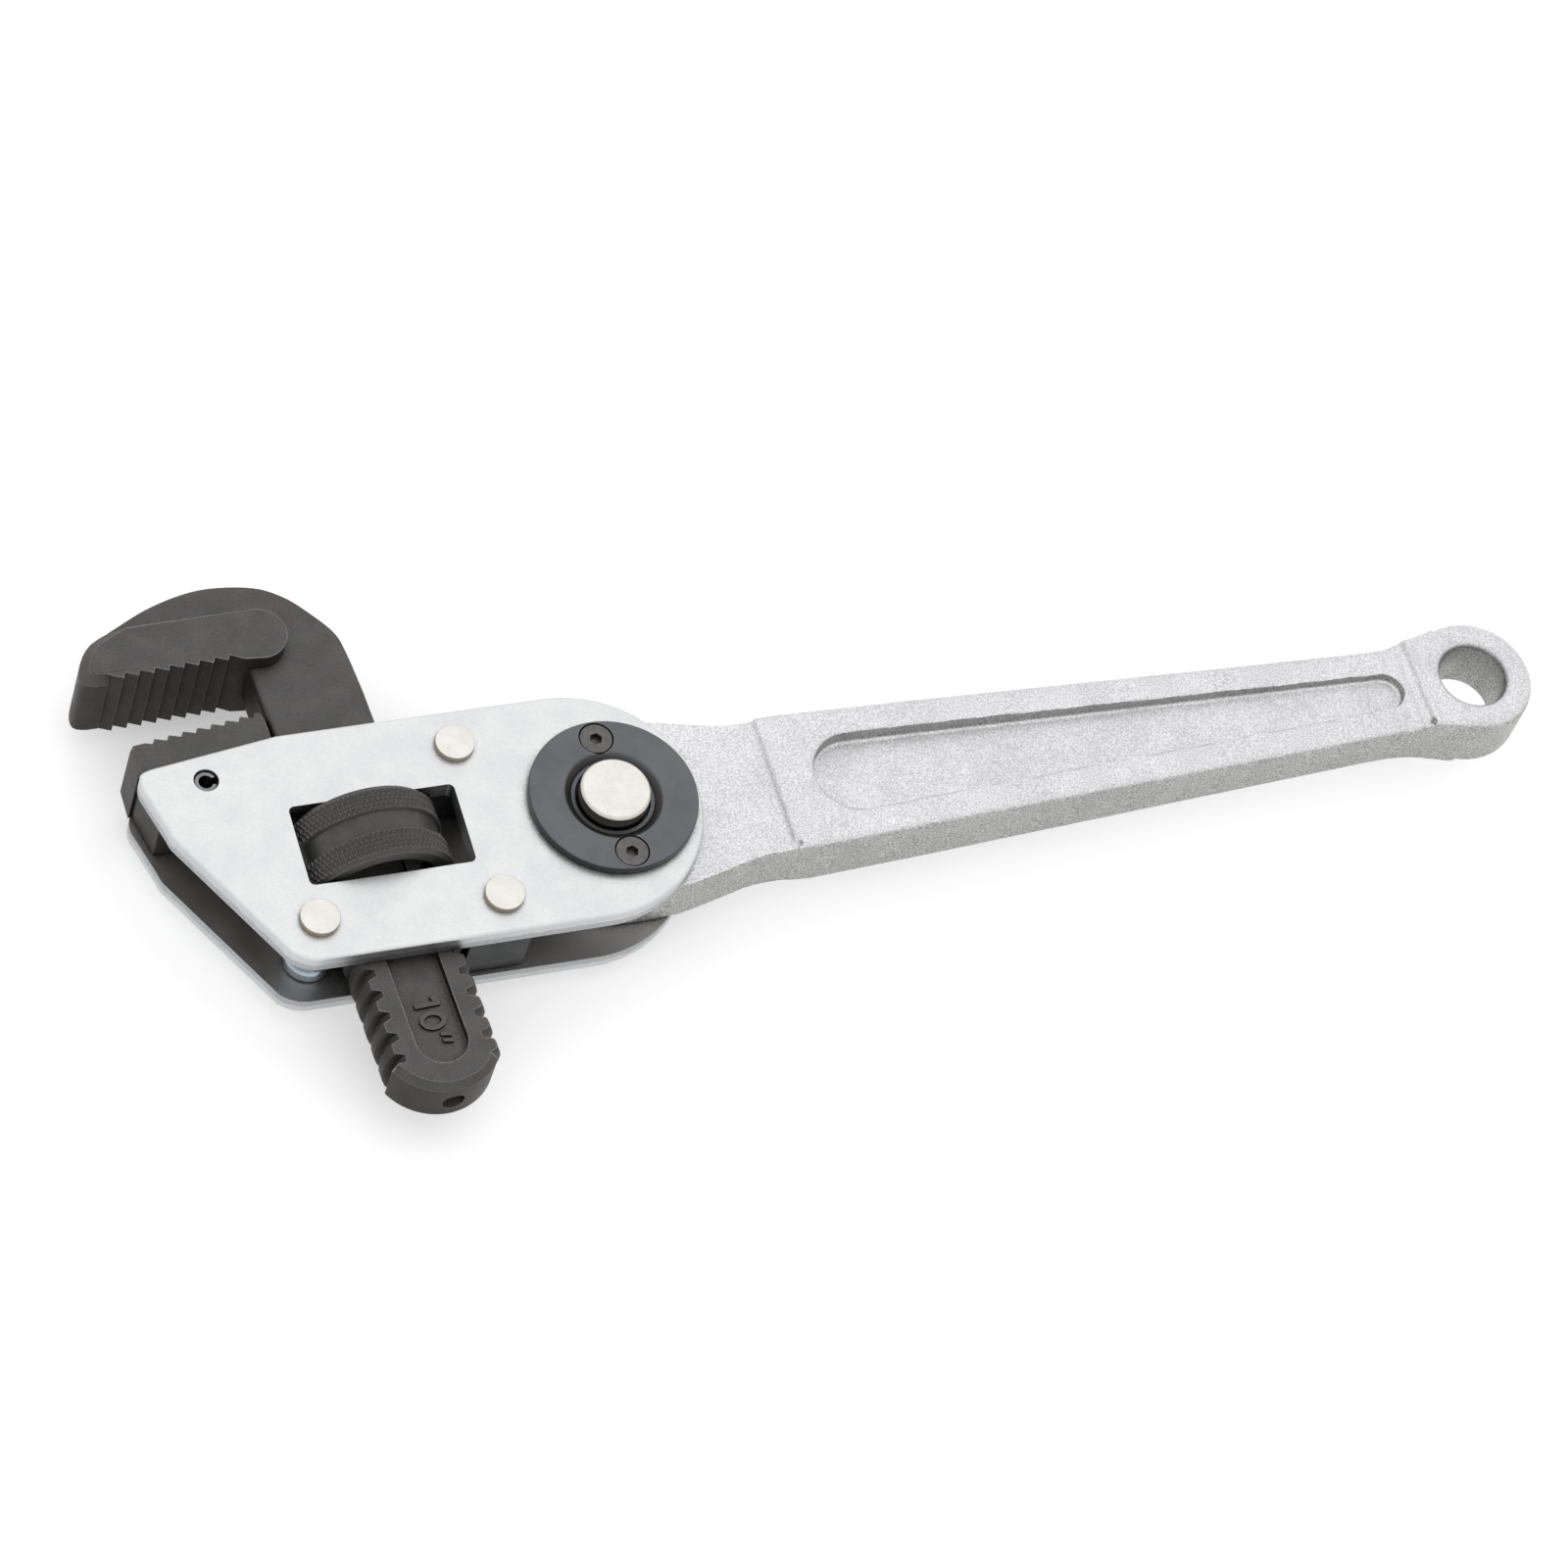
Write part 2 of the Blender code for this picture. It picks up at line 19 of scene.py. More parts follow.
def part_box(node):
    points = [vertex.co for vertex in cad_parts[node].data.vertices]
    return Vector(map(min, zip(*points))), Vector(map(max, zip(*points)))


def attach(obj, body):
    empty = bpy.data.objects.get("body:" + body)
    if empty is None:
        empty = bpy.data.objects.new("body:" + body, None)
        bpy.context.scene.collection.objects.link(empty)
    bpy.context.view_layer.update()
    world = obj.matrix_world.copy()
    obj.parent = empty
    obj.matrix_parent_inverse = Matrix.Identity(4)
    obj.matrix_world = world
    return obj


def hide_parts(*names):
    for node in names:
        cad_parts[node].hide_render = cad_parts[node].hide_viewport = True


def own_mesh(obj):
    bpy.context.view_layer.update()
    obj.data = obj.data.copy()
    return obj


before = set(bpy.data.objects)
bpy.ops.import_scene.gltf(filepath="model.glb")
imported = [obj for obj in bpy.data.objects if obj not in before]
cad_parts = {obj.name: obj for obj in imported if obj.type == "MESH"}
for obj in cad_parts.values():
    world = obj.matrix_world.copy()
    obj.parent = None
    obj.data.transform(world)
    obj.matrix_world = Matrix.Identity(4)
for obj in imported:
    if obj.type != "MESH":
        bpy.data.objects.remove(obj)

LOG = logging.getLogger("pipe wrench")
MM = 0.001
MIDDLE = 10.8 * MM           # height midway between the plates
HALF_CORE = 5.2 * MM         # half thickness of what sits between the plates
PIN_HOLE = 2.15 * MM         # radius of the holes for the heel jaw's pin
RIVET_HOLE = 1.7 * MM        # radius of the holes for the rivets
Point = tuple[float, float]
Edge = bmesh.types.BMEdge


# ---------------------------------------------------------------- modelling helpers
class Side(Enum):
    """Which face of the wrench a piece belongs to."""

    FRONT = 1
    REAR = -1


def arc(centre: Point, radius: float, start: float, end: float, steps: int) -> list[Point]:
    """Points along an arc, both ends included.

    Args:
        centre: Centre of the arc.
        radius: Its radius.
        start: First angle, in degrees.
        end: Last angle, in degrees.
        steps: Number of equal steps between them.

    Returns:
        The points in order.
    """
    angles = (math.radians(start + (end - start) * i / steps) for i in range(steps + 1))
    return [(centre[0] + radius * math.cos(a), centre[1] + radius * math.sin(a)) for a in angles]


def curve(points: Sequence[Point], steps: int = 6) -> list[Point]:
    """Smooth curve through a few points (Catmull-Rom).

    Args:
        points: Points that the curve passes through.
        steps: Steps between one point and the next.

    Returns:
        The points of the curve, both ends included.
    """
    padded = [points[0], *points, points[-1]]
    out: list[Point] = []
    for a, b, c, d in zip(padded, padded[1:], padded[2:], padded[3:]):
        for i in range(steps):
            t = i / steps
            out.append(tuple(
                0.5 * (2 * q + (r - p) * t + (2 * p - 5 * q + 4 * r - s) * t * t
                       + (3 * q - p - 3 * r + s) * t ** 3)
                for p, q, r, s in zip(a, b, c, d)))
    return [*out, points[-1]]


class Bench:
    """The modelling steps, done on one piece at a time as by hand."""

    @staticmethod
    def clear() -> None:
        """Leave edit mode and deselect everything."""
        if bpy.context.object is not None and bpy.context.object.mode != "OBJECT":
            bpy.ops.object.mode_set(mode="OBJECT")
        bpy.ops.object.select_all(action="DESELECT")

    @staticmethod
    def take(piece: bpy.types.Object) -> None:
        """Make a piece the only selected and active one.

        Args:
            piece: Piece to take up.
        """
        Bench.clear()
        piece.select_set(True)
        bpy.context.view_layer.objects.active = piece

    @staticmethod
    def ring(name: str, places: Sequence[Sequence[float]], filled: bool) -> bpy.types.Object:
        """Start a piece as a circle whose points are moved to their places.

        Args:
            name: Name of the piece.
            places: One place for each point, in order round the ring.
            filled: Whether the ring is closed with a face.

        Returns:
            The new piece, in object mode.
        """
        Bench.clear()
        bpy.ops.mesh.primitive_circle_add(vertices=len(places), radius=1.0,
                                          fill_type="NGON" if filled else "NOTHING")
        piece = bpy.context.object
        piece.name = name
        piece.data.name = name
        for vertex, place in zip(piece.data.vertices, places):
            vertex.co = place
        return piece

    @staticmethod
    def outward(piece: bpy.types.Object, gap: float = 1e-6) -> None:
        """Merge doubles, drop loose edges and point every face outwards.

        Args:
            piece: Piece to work on.
            gap: Distance within which corners are merged.
        """
        Bench.take(piece)
        bpy.ops.object.mode_set(mode="EDIT")
        bpy.ops.mesh.select_all(action="SELECT")
        bpy.ops.mesh.remove_doubles(threshold=gap)
        bpy.ops.mesh.delete_loose(use_verts=True, use_edges=True, use_faces=False)
        bpy.ops.mesh.select_all(action="SELECT")
        bpy.ops.mesh.normals_make_consistent(inside=False)
        bpy.ops.object.mode_set(mode="OBJECT")

    @staticmethod
    def prism(name: str, outline: Sequence[Point], low: float, high: float) -> bpy.types.Object:
        """Fill an outline in the XY plane and extrude it from low to high.

        Args:
            name: Name of the new piece.
            outline: Corners of the outline.
            low: Height of its underside.
            high: Height of its top.

        Returns:
            The new piece.
        """
        piece = Bench.ring(name, [(x, y, low) for x, y in outline], filled=True)
        Bench.take(piece)
        bpy.ops.object.mode_set(mode="EDIT")
        bpy.ops.mesh.select_all(action="SELECT")
        bpy.ops.mesh.extrude_region_move(TRANSFORM_OT_translate={"value": (0, 0, high - low)})
        Bench.outward(piece)
        return piece

    @staticmethod
    def turned(name: str, profile: Sequence[Point], steps: int = 96) -> bpy.types.Object:
        """Spin a closed profile of (radius, height) about Z.

        Args:
            name: Name of the new piece.
            profile: Corners of the profile, as radius and height.
            steps: Number of steps round the axis.

        Returns:
            The new piece.
        """
        piece = Bench.ring(name, [(r, 0.0, z) for r, z in profile], filled=False)
        Bench.take(piece)
        bpy.ops.object.mode_set(mode="EDIT")
        bpy.ops.mesh.select_all(action="SELECT")
        bpy.ops.mesh.spin(steps=steps, angle=math.tau, center=(0, 0, 0), axis=(0, 0, 1))
        Bench.outward(piece)
        return piece

    @staticmethod
    def loft(name: str, rings: Sequence[Sequence[Sequence[float]]]) -> bpy.types.Object:
        """Extrude a first ring through the others, and close both ends.

        Args:
            name: Name of the new piece.
            rings: Rings of places, all with the same number of corners.

        Returns:
            The new piece.
        """
        piece = Bench.ring(name, rings[0], filled=True)
        Bench.take(piece)
        bpy.ops.object.mode_set(mode="EDIT")
        bpy.ops.mesh.select_all(action="SELECT")
        for places in rings[1:]:
            bpy.ops.mesh.extrude_region_move(TRANSFORM_OT_translate={"value": (0, 0, 0)})
            mesh = bmesh.from_edit_mesh(piece.data)
            moved = sorted((v for v in mesh.verts if v.select), key=lambda v: v.index)
            for vertex, place in zip(moved, places):
                vertex.co = place
            mesh.verts.index_update()
            bmesh.update_edit_mesh(piece.data)
        Bench.outward(piece)
        return piece

    @staticmethod
    def place(piece: bpy.types.Object, at: Sequence[float], turn: float = 0.0,
              tip: float = 0.0) -> None:
        """Turn a piece (about Z, after a tip about X), move it, and apply both to its mesh.

        Args:
            piece: Piece to move.
            at: Where its origin goes.
            turn: Turn about Z, in radians.
            tip: Tip about X, in radians.
        """
        Bench.take(piece)
        piece.rotation_euler = (tip, 0.0, turn)
        piece.location = at
        bpy.ops.object.transform_apply(location=True, rotation=True, scale=True)

    @staticmethod
    def modify(piece: bpy.types.Object, kind: str, **settings: object) -> None:
        """Add one modifier with its settings and apply it.

        Args:
            piece: Piece that gets the modifier.
            kind: Type of the modifier.
            settings: Its properties.
        """
        Bench.take(piece)
        step = piece.modifiers.new(kind.lower(), kind)
        for key, value in settings.items():
            setattr(step, key, value)
        bpy.ops.object.modifier_apply(modifier=step.name)

    @staticmethod
    def combine(piece: bpy.types.Object, tool: bpy.types.Object,
                operation: str = "DIFFERENCE") -> None:
        """Cut with a tool or join it on, and throw the tool away."""
        Bench.modify(piece, "BOOLEAN", operation=operation, object=tool, solver="EXACT")
        bpy.data.objects.remove(tool)

    @staticmethod
    def ease(piece: bpy.types.Object, width: float, segments: int = 2, angle: float = 28) -> None:
        """Round all the edges that are sharper than an angle, in degrees."""
        Bench.modify(piece, "BEVEL", width=width, segments=segments, limit_method="ANGLE",
                     angle_limit=math.radians(angle), use_clamp_overlap=True)

    @staticmethod
    def ease_some(piece: bpy.types.Object, wanted: Callable[[Edge], bool], width: float,
                  segments: int = 3, clamp: bool = True) -> None:
        """Round only the edges that a test picks.

        Args:
            piece: Piece to round.
            wanted: Test that picks an edge.
            width: Width of the rounding.
            segments: Number of strips across it.
            clamp: Whether roundings stop where they would overlap.
        """
        Bench.take(piece)
        bpy.ops.object.mode_set(mode="EDIT")
        bpy.ops.mesh.select_mode(type="EDGE")
        bpy.ops.mesh.select_all(action="DESELECT")
        mesh = bmesh.from_edit_mesh(piece.data)
        for edge in mesh.edges:
            edge.select = len(edge.link_faces) == 2 and wanted(edge)
        bmesh.update_edit_mesh(piece.data)
        bpy.ops.mesh.bevel(offset=width, segments=segments, affect="EDGES", clamp_overlap=clamp)
        bpy.ops.mesh.select_mode(type="VERT")
        bpy.ops.object.mode_set(mode="OBJECT")

    @staticmethod
    def shade(piece: bpy.types.Object, angle: float = 32, weighted: bool = True) -> None:
        """Shade a piece smooth up to an angle, with its large faces kept flat.

        Args:
            piece: Piece to shade.
            angle: Angle up to which edges are smooth, in degrees.
            weighted: Whether large faces are kept flat.
        """
        Bench.take(piece)
        bpy.ops.object.shade_smooth_by_angle(angle=math.radians(angle))
        if weighted:
            Bench.modify(piece, "WEIGHTED_NORMAL", keep_sharp=True)


def level_edge(height: float, room: float = 0.02 * MM) -> Callable[[Edge], bool]:
    """Test for sharp edges that lie at one height.

    Args:
        height: Height wanted.
        room: How far off it an end may lie.

    Returns:
        The test.
    """
    def test(edge: Edge) -> bool:
        """Whether both ends of the edge are at the height and its faces meet sharply."""
        return (all(abs(v.co.z - height) < room for v in edge.verts)
                and edge.calc_face_angle(0.0) > math.radians(40))
    return test


# ---------------------------------------------------------------- finishes
def linear(code: str) -> tuple[float, float, float, float]:
    """Linear colour from an sRGB hex code such as "D8DADB"."""
    channels = [int(code[i:i + 2], 16) / 255 for i in (0, 2, 4)]
    return (*(c / 12.92 if c <= 0.04045 else ((c + 0.055) / 1.055) ** 2.4 for c in channels), 1.0)


EASED = {"interpolation_type": "SMOOTHSTEP"}    # a Map Range node that eases at both ends
TINT = {"data_type": "RGBA"}                    # a Mix node that lays one colour over another
TIMES = {"data_type": "RGBA", "blend_type": "MULTIPLY"}
AMOUNT, FIRST, SECOND, MIXED = 0, 6, 7, 2       # sockets of a Mix node for colours


def add(tree: bpy.types.NodeTree, kind: str, settings: dict | None = None,
        inputs: dict | Sequence = ()) -> bpy.types.Node:
    """Add a node with its settings, and fill or link its inputs.

    Args:
        tree: Node tree that gets the node.
        kind: Node type without its "ShaderNode" prefix.
        settings: Properties of the node.
        inputs: Constants and output sockets to link, in the order of the node's own sockets, or
            by socket name or number.

    Returns:
        The new node.
    """
    node = tree.nodes.new(f"ShaderNode{kind}")
    for key, value in (settings or {}).items():
        setattr(node, key, value)
    for key, value in inputs.items() if isinstance(inputs, dict) else enumerate(inputs):
        if isinstance(value, bpy.types.NodeSocket):
            tree.links.new(value, node.inputs[key])
        else:
            node.inputs[key].default_value = value
    return node


@dataclass(frozen=True)
class Finish:
    """A metal finish: two tones mottled together, a fine grain, wear along the edges, painted shade in
    the corners and, where asked for, on upright faces.
    """

    name: str
    tone: str                    # sRGB colour of most of the surface
    second_tone: str             # sRGB colour that it drifts to
    metallic: float
    roughness: float
    roughness_drift: float = 0.05
    mottle: float = 4.0 * MM     # size of the drifting patches
    grain: float = 0.30 * MM     # size of one grain
    grain_tone: float = 0.10     # how far a grain is darker or lighter
    grain_height: float = 0.02 * MM
    wear_tone: str | None = None
    wear_width: float = 0.25 * MM
    wear_amount: float = 0.6
    corner_shade: float = 0.45          # how far painted shade darkens the corners
    corner_shade_reach: float = 2.5 * MM
    wall_shade_tone: str | None = None  # painted shade: what upright faces are multiplied by
    wall_speck: float = 0.0      # how far one grain of them is darker or lighter

    def make(self) -> bpy.types.Material:
        """Build the material.

        Returns:
            The new material.
        """
        material = bpy.data.materials.new(self.name)
        material.use_nodes = True
        tree = material.node_tree
        shader = tree.nodes["Principled BSDF"]
        shader.inputs["Metallic"].default_value = self.metallic
        place = add(tree, "TexCoord").outputs["Object"]
        patch, grain = (
            add(tree, "TexNoise", None, {"Vector": place, "Scale": 1.0 / size, "Detail": octaves,
                                         "Roughness": 0.55}).outputs["Fac"]
            for size, octaves in ((self.mottle, 3.0), (self.grain, 2.0)))
        drift = add(tree, "MapRange", EASED, (patch, 0.3, 0.7)).outputs[0]
        colour = add(tree, "Mix", TINT, {AMOUNT: drift, FIRST: linear(self.tone),
                                         SECOND: linear(self.second_tone)}).outputs[MIXED]
        shade = add(tree, "MapRange", EASED, (grain, 0.3, 0.7, 1 - self.grain_tone,
                                              1 + self.grain_tone)).outputs[0]
        grey = add(tree, "CombineColor", None, (shade, shade, shade)).outputs[0]
        colour = add(tree, "Mix", TIMES, {AMOUNT: 1.0, FIRST: colour, SECOND: grey}).outputs[MIXED]
        open_sky = add(tree, "AmbientOcclusion", {"samples": 8},
                       {"Distance": self.corner_shade_reach}).outputs["AO"]
        colour = self.edge_wear(tree, colour, patch, grain, open_sky)
        colour = self.detail(tree, colour, place)
        # painted shade on the upright faces
        colour = self.shade_walls(tree, colour, grain)
        # painted shade in the corners, from how closed in the surface is
        colour = self.paint_corner_shade(tree, colour, grain, open_sky)
        tree.links.new(colour, shader.inputs["Base Color"])
        rough = add(tree, "MapRange", EASED, (patch, 0.25, 0.75,
                                              self.roughness - self.roughness_drift,
                                              self.roughness + self.roughness_drift)).outputs[0]
        tree.links.new(rough, shader.inputs["Roughness"])
        bump = add(tree, "Bump", None, {"Strength": 1.0, "Distance": self.grain_height,
                                        "Height": grain})
        tree.links.new(bump.outputs["Normal"], shader.inputs["Normal"])
        return material

    def edge_wear(self, tree: bpy.types.NodeTree, colour: bpy.types.NodeSocket,
                  patch: bpy.types.NodeSocket, grain: bpy.types.NodeSocket,
                  open_sky: bpy.types.NodeSocket) -> bpy.types.NodeSocket:
        """Lighten the colour along outer edges, where handling has rubbed the finish away.

        Args:
            tree: Node tree of the material.
            colour: Colour so far.
            patch: Noise of the drifting patches.
            grain: Noise of the grain.
            open_sky: How open the surface is to its surroundings.

        Returns:
            The colour with its wear.
        """
        if self.wear_tone is None:
            return colour
        rounded = add(tree, "Bevel", {"samples": 6}, {"Radius": self.wear_width})
        flat = add(tree, "NewGeometry").outputs["Normal"]
        facing = add(tree, "VectorMath", {"operation": "DOT_PRODUCT"},
                     (rounded.outputs["Normal"], flat)).outputs["Value"]
        edge = add(tree, "MapRange", EASED, (facing, 0.985, 0.86)).outputs[0]
        broken = add(tree, "MapRange", EASED, (patch, 0.35, 0.62, 0.25, 1.0)).outputs[0]
        speck = add(tree, "MapRange", EASED, (grain, 0.30, 0.60, 0.3, 1.0)).outputs[0]
        outer = add(tree, "MapRange", EASED, (open_sky, 0.75, 0.95)).outputs[0]
        for part in (broken, speck, outer, self.wear_amount):
            edge = add(tree, "Math", {"operation": "MULTIPLY"}, (edge, part)).outputs[0]
        return add(tree, "Mix", TINT, {AMOUNT: edge, FIRST: colour,
                                       SECOND: linear(self.wear_tone)}).outputs[MIXED]

    def paint_corner_shade(self, tree: bpy.types.NodeTree, colour: bpy.types.NodeSocket,
               grain: bpy.types.NodeSocket,
               open_sky: bpy.types.NodeSocket) -> bpy.types.NodeSocket:
        """Paint shade into the corners: darker where the surface is closed in, with an edge broken by
        the grain.

        Args:
            tree: Node tree of the material.
            colour: Colour so far.
            grain: Noise of the grain.
            open_sky: How open the surface is to its surroundings.

        Returns:
            The colour with its painted corner shade.
        """
        rough = add(tree, "MapRange", EASED, (grain, 0.3, 0.7, -0.08, 0.08)).outputs[0]
        reached = add(tree, "Math", {"operation": "ADD"}, (open_sky, rough)).outputs[0]
        unshaded_share = add(tree, "MapRange", EASED, (reached, 0.25, 0.85, 1 - self.corner_shade, 1.0)).outputs[0]
        grey = add(tree, "CombineColor", None, (unshaded_share, unshaded_share, unshaded_share)).outputs[0]
        return add(tree, "Mix", TIMES, {AMOUNT: 1.0, FIRST: colour, SECOND: grey}).outputs[MIXED]

    def shade_walls(self, tree: bpy.types.NodeTree, colour: bpy.types.NodeSocket,
              grain: bpy.types.NodeSocket) -> bpy.types.NodeSocket:
        """Paint shade on the upright faces, with a speckle of grain on them.

        Args:
            tree: Node tree of the material.
            colour: Colour so far.
            grain: Noise of the grain.

        Returns:
            The colour with painted shade on its walls.
        """
        if self.wall_shade_tone is None:
            return colour
        normal = add(tree, "NewGeometry").outputs["Normal"]
        upright = add(tree, "SeparateXYZ", None, (normal,)).outputs["Z"]
        tilt = add(tree, "Math", {"operation": "ABSOLUTE"}, (upright,)).outputs[0]
        shaded_wall = add(tree, "Mix", TIMES, {AMOUNT: 1.0, FIRST: colour,
                                        SECOND: linear(self.wall_shade_tone)}).outputs[MIXED]
        speck = add(tree, "MapRange", EASED, (grain, 0.35, 0.65, 1 - self.wall_speck,
                                              1 + self.wall_speck)).outputs[0]
        grey = add(tree, "CombineColor", None, (speck, speck, speck)).outputs[0]
        shaded_wall = add(tree, "Mix", TIMES, {AMOUNT: 1.0, FIRST: shaded_wall, SECOND: grey}).outputs[MIXED]
        wall = add(tree, "MapRange", EASED, (tilt, 0.90, 0.35)).outputs[0]
        return add(tree, "Mix", TINT, {AMOUNT: wall, FIRST: colour, SECOND: shaded_wall}).outputs[MIXED]

    def detail(self, tree: bpy.types.NodeTree, colour: bpy.types.NodeSocket,
               place: bpy.types.NodeSocket) -> bpy.types.NodeSocket:
        """Colour with what only one kind of finish has; here, nothing more."""
        return colour


@dataclass(frozen=True)
class BlankedZinc(Finish):
    """Zinc plate on blanked sheet: torn band on the cut sides, painted shade on the inner faces."""

    torn_tone: str = "B4B6B7"
    fleck_tone: str = "DADCDD"
    torn_grain: float = 0.28 * MM
    wander: float = 0.25 * MM    # how far the band's edge strays
    wave: float = 2.5 * MM       # length of its wander
    # painted shade: the tone that the inner faces, between the plates, are multiplied by
    inner_shade_tone: str = "D4D1CE"
    middle: float = MIDDLE
    inner: float = 5.4 * MM      # distance of the inner faces from the middle
    torn_to: float = 7.0 * MM    # distance where the torn band ends

    def detail(self, tree: bpy.types.NodeTree, colour: bpy.types.NodeSocket,
               place: bpy.types.NodeSocket) -> bpy.types.NodeSocket:
        """Roughen the inner part of the sides, and paint shade on the inner faces.

        Args:
            tree: Node tree of the material.
            colour: Colour so far.
            place: Place on the plate.

        Returns:
            The colour with its torn band and painted shade on the inner faces.
        """
        normal = add(tree, "NewGeometry").outputs["Normal"]
        upright = add(tree, "SeparateXYZ", None, (normal,)).outputs["Z"]
        tilt = add(tree, "Math", {"operation": "ABSOLUTE"}, (upright,)).outputs[0]
        side = add(tree, "MapRange", EASED, (tilt, 0.5, 0.15)).outputs[0]
        height = add(tree, "SeparateXYZ", None, (place,)).outputs["Z"]
        away = add(tree, "Math", {"operation": "SUBTRACT"}, (height, self.middle)).outputs[0]
        away = add(tree, "Math", {"operation": "ABSOLUTE"}, (away,)).outputs[0]
        wave = add(tree, "TexNoise", None, {"Vector": place, "Scale": 1.0 / self.wave,
                                            "Detail": 2.0, "Roughness": 0.55}).outputs["Fac"]
        stray = add(tree, "MapRange", EASED, (wave, 0.2, 0.8, -self.wander, self.wander)).outputs[0]
        edge = add(tree, "Math", {"operation": "ADD"}, (away, stray)).outputs[0]
        band = add(tree, "MapRange", EASED, (edge, self.torn_to + 0.2 * MM,
                                             self.torn_to - 0.2 * MM)).outputs[0]
        fleck = add(tree, "TexNoise", None, {"Vector": place, "Scale": 1.0 / self.torn_grain,
                                             "Detail": 3.0, "Roughness": 0.55}).outputs["Fac"]
        amount = add(tree, "Math", {"operation": "MULTIPLY"}, (band, side)).outputs[0]
        fleck = add(tree, "MapRange", EASED, (fleck, 0.45, 0.70)).outputs[0]
        torn = add(tree, "Mix", TINT, {AMOUNT: fleck, FIRST: linear(self.torn_tone),
                                       SECOND: linear(self.fleck_tone)}).outputs[MIXED]
        colour = add(tree, "Mix", TINT, {AMOUNT: amount, FIRST: colour,
                                         SECOND: torn}).outputs[MIXED]
        # Painted shade: the inner faces, between the plates, are multiplied by a darker tone.
        inside = add(tree, "MapRange", EASED, (away, self.inner + 0.10 * MM,
                                               self.inner + 0.02 * MM)).outputs[0]
        oiled = add(tree, "Mix", TIMES, {AMOUNT: 1.0, FIRST: colour,
                                         SECOND: linear(self.inner_shade_tone)}).outputs[MIXED]
        return add(tree, "Mix", TINT, {AMOUNT: inside, FIRST: colour, SECOND: oiled}).outputs[MIXED]


ZINC_PLATE = BlankedZinc(
    # Zinc electroplate on blanked steel: pale satin grey, faintly cloudy, almost white under light,
    # with painted shade in its corners, on its walls and on its inner faces.
    "zinc plate on blanked steel", "E0E1E1", "DCDDDE", 1.0, 0.40, 0.04, 6.0 * MM, 0.40 * MM, 0.03,
    0.005 * MM, "EFF0F0", 0.30 * MM, 0.15, 0.55, 3.5 * MM, "E0E1E2")
CAST_ALUMINIUM = Finish(
    # Sand cast aluminium, tumbled: a fine sparkling grain over a pale silver skin, with painted shade
    # on its walls and in its corners.
    "sand cast aluminium", "DFDFE1", "D8D8DA", 1.0, 0.46, 0.04, 9.0 * MM, 0.30 * MM, 0.23,
    0.07 * MM, "F8F8FA", 0.60 * MM, 0.75, 0.38, 1.6 * MM, "C0C0BC", 0.18)
BRIGHT_ZINC = Finish(
    # Clear passivated zinc on turned steel: brighter than the plates, with a blue cast.
    "blue zinc on turned steel", "B3BEC6", "A6B2BB", 1.0, 0.28, 0.04, 3.0 * MM, 0.30 * MM, 0.04,
    0.004 * MM)
PHOSPHATE = Finish(
    # Manganese phosphate on forged steel: matt brown-black, with grey rub marks on its edges, and
    # painted shade on its walls and in its corners.
    "phosphate on forged steel", "5A5754", "545150", 0.55, 0.52, 0.04, 5.0 * MM, 0.28 * MM, 0.12,
    0.018 * MM, "A8A49F", 0.45 * MM, 0.90, 0.65, 2.4 * MM, "8E8B88", 0.05)
NUT_PHOSPHATE = Finish(
    # The same phosphate, oiled, on turned and knurled steel: darker, with bright knurl points and
    # strong painted shade in the knurl's grooves.
    "oiled phosphate on knurled steel", "504E4D", "484746", 0.55, 0.46, 0.04, 2.5 * MM, 0.22 * MM,
    0.10, 0.008 * MM, "A5A19D", 0.24 * MM, 0.90, 0.85, 0.9 * MM)
BLACK_OXIDE = Finish(
    # Black oxide on hardened steel: thin, dark and slightly blue, with a soft shine.
    "black oxide on hardened steel", "353637", "2D2E30", 0.8, 0.38, 0.05, 3.0 * MM, 0.25 * MM, 0.06,
    0.004 * MM, "6F7072", 0.15 * MM, 0.45)
RING_OXIDE = Finish(
    # Grey-blue oxide on turned steel: a smooth satin sheen, with painted shade on its turned side.
    "grey oxide on turned steel", "67696C", "616367", 0.9, 0.34, 0.03, 5.0 * MM, 0.20 * MM, 0.03,
    0.002 * MM, "A09C97", 0.28 * MM, 0.80, 0.60, 2.0 * MM, "8E8C8C")
SATIN_NICKEL = Finish(
    # Satin nickel plate: warm white metal with a fine tumbled skin, and painted shade on its sides.
    "satin nickel plate", "E4E1DB", "DEDBD5", 1.0, 0.30, 0.04, 3.0 * MM, 0.35 * MM, 0.03,
    0.004 * MM, "B9B1A3", 0.20 * MM, 0.60, 0.50, 1.5 * MM, "B5AEA4")
SCREW_STEEL = Finish(
    # Plain hardened screw steel, lightly oiled: mid grey with worn edges.
    "plain screw steel", "6C6B69", "62615F", 0.9, 0.40, 0.05, 1.2 * MM, 0.20 * MM, 0.10,
    0.010 * MM, "A09D98", 0.10 * MM, 0.5)
SPRING_STEEL = Finish(
    # Drawn spring wire: smooth grey steel with a low shine.
    "drawn spring wire", "8A8B8D", "7F8082", 1.0, 0.30, 0.04, 2.0 * MM, 0.20 * MM, 0.05,
    0.002 * MM)


class Finishes:
    """Each finish's material, made once when it is first asked for."""

    def __init__(self) -> None:
        """Start with no material made."""
        self.made: dict[str, bpy.types.Material] = {}

    def get(self, finish: Finish) -> bpy.types.Material:
        """Material of a finish.

        Args:
            finish: Finish wanted.

        Returns:
            Its material, made the first time it is asked for.
        """
        if finish.name not in self.made:
            self.made[finish.name] = finish.make()
        return self.made[finish.name]

    def dress(self, piece: bpy.types.Object, finish: Finish) -> None:
        """Give a piece one finish all over."""
        piece.data.materials.clear()
        piece.data.materials.append(self.get(finish))


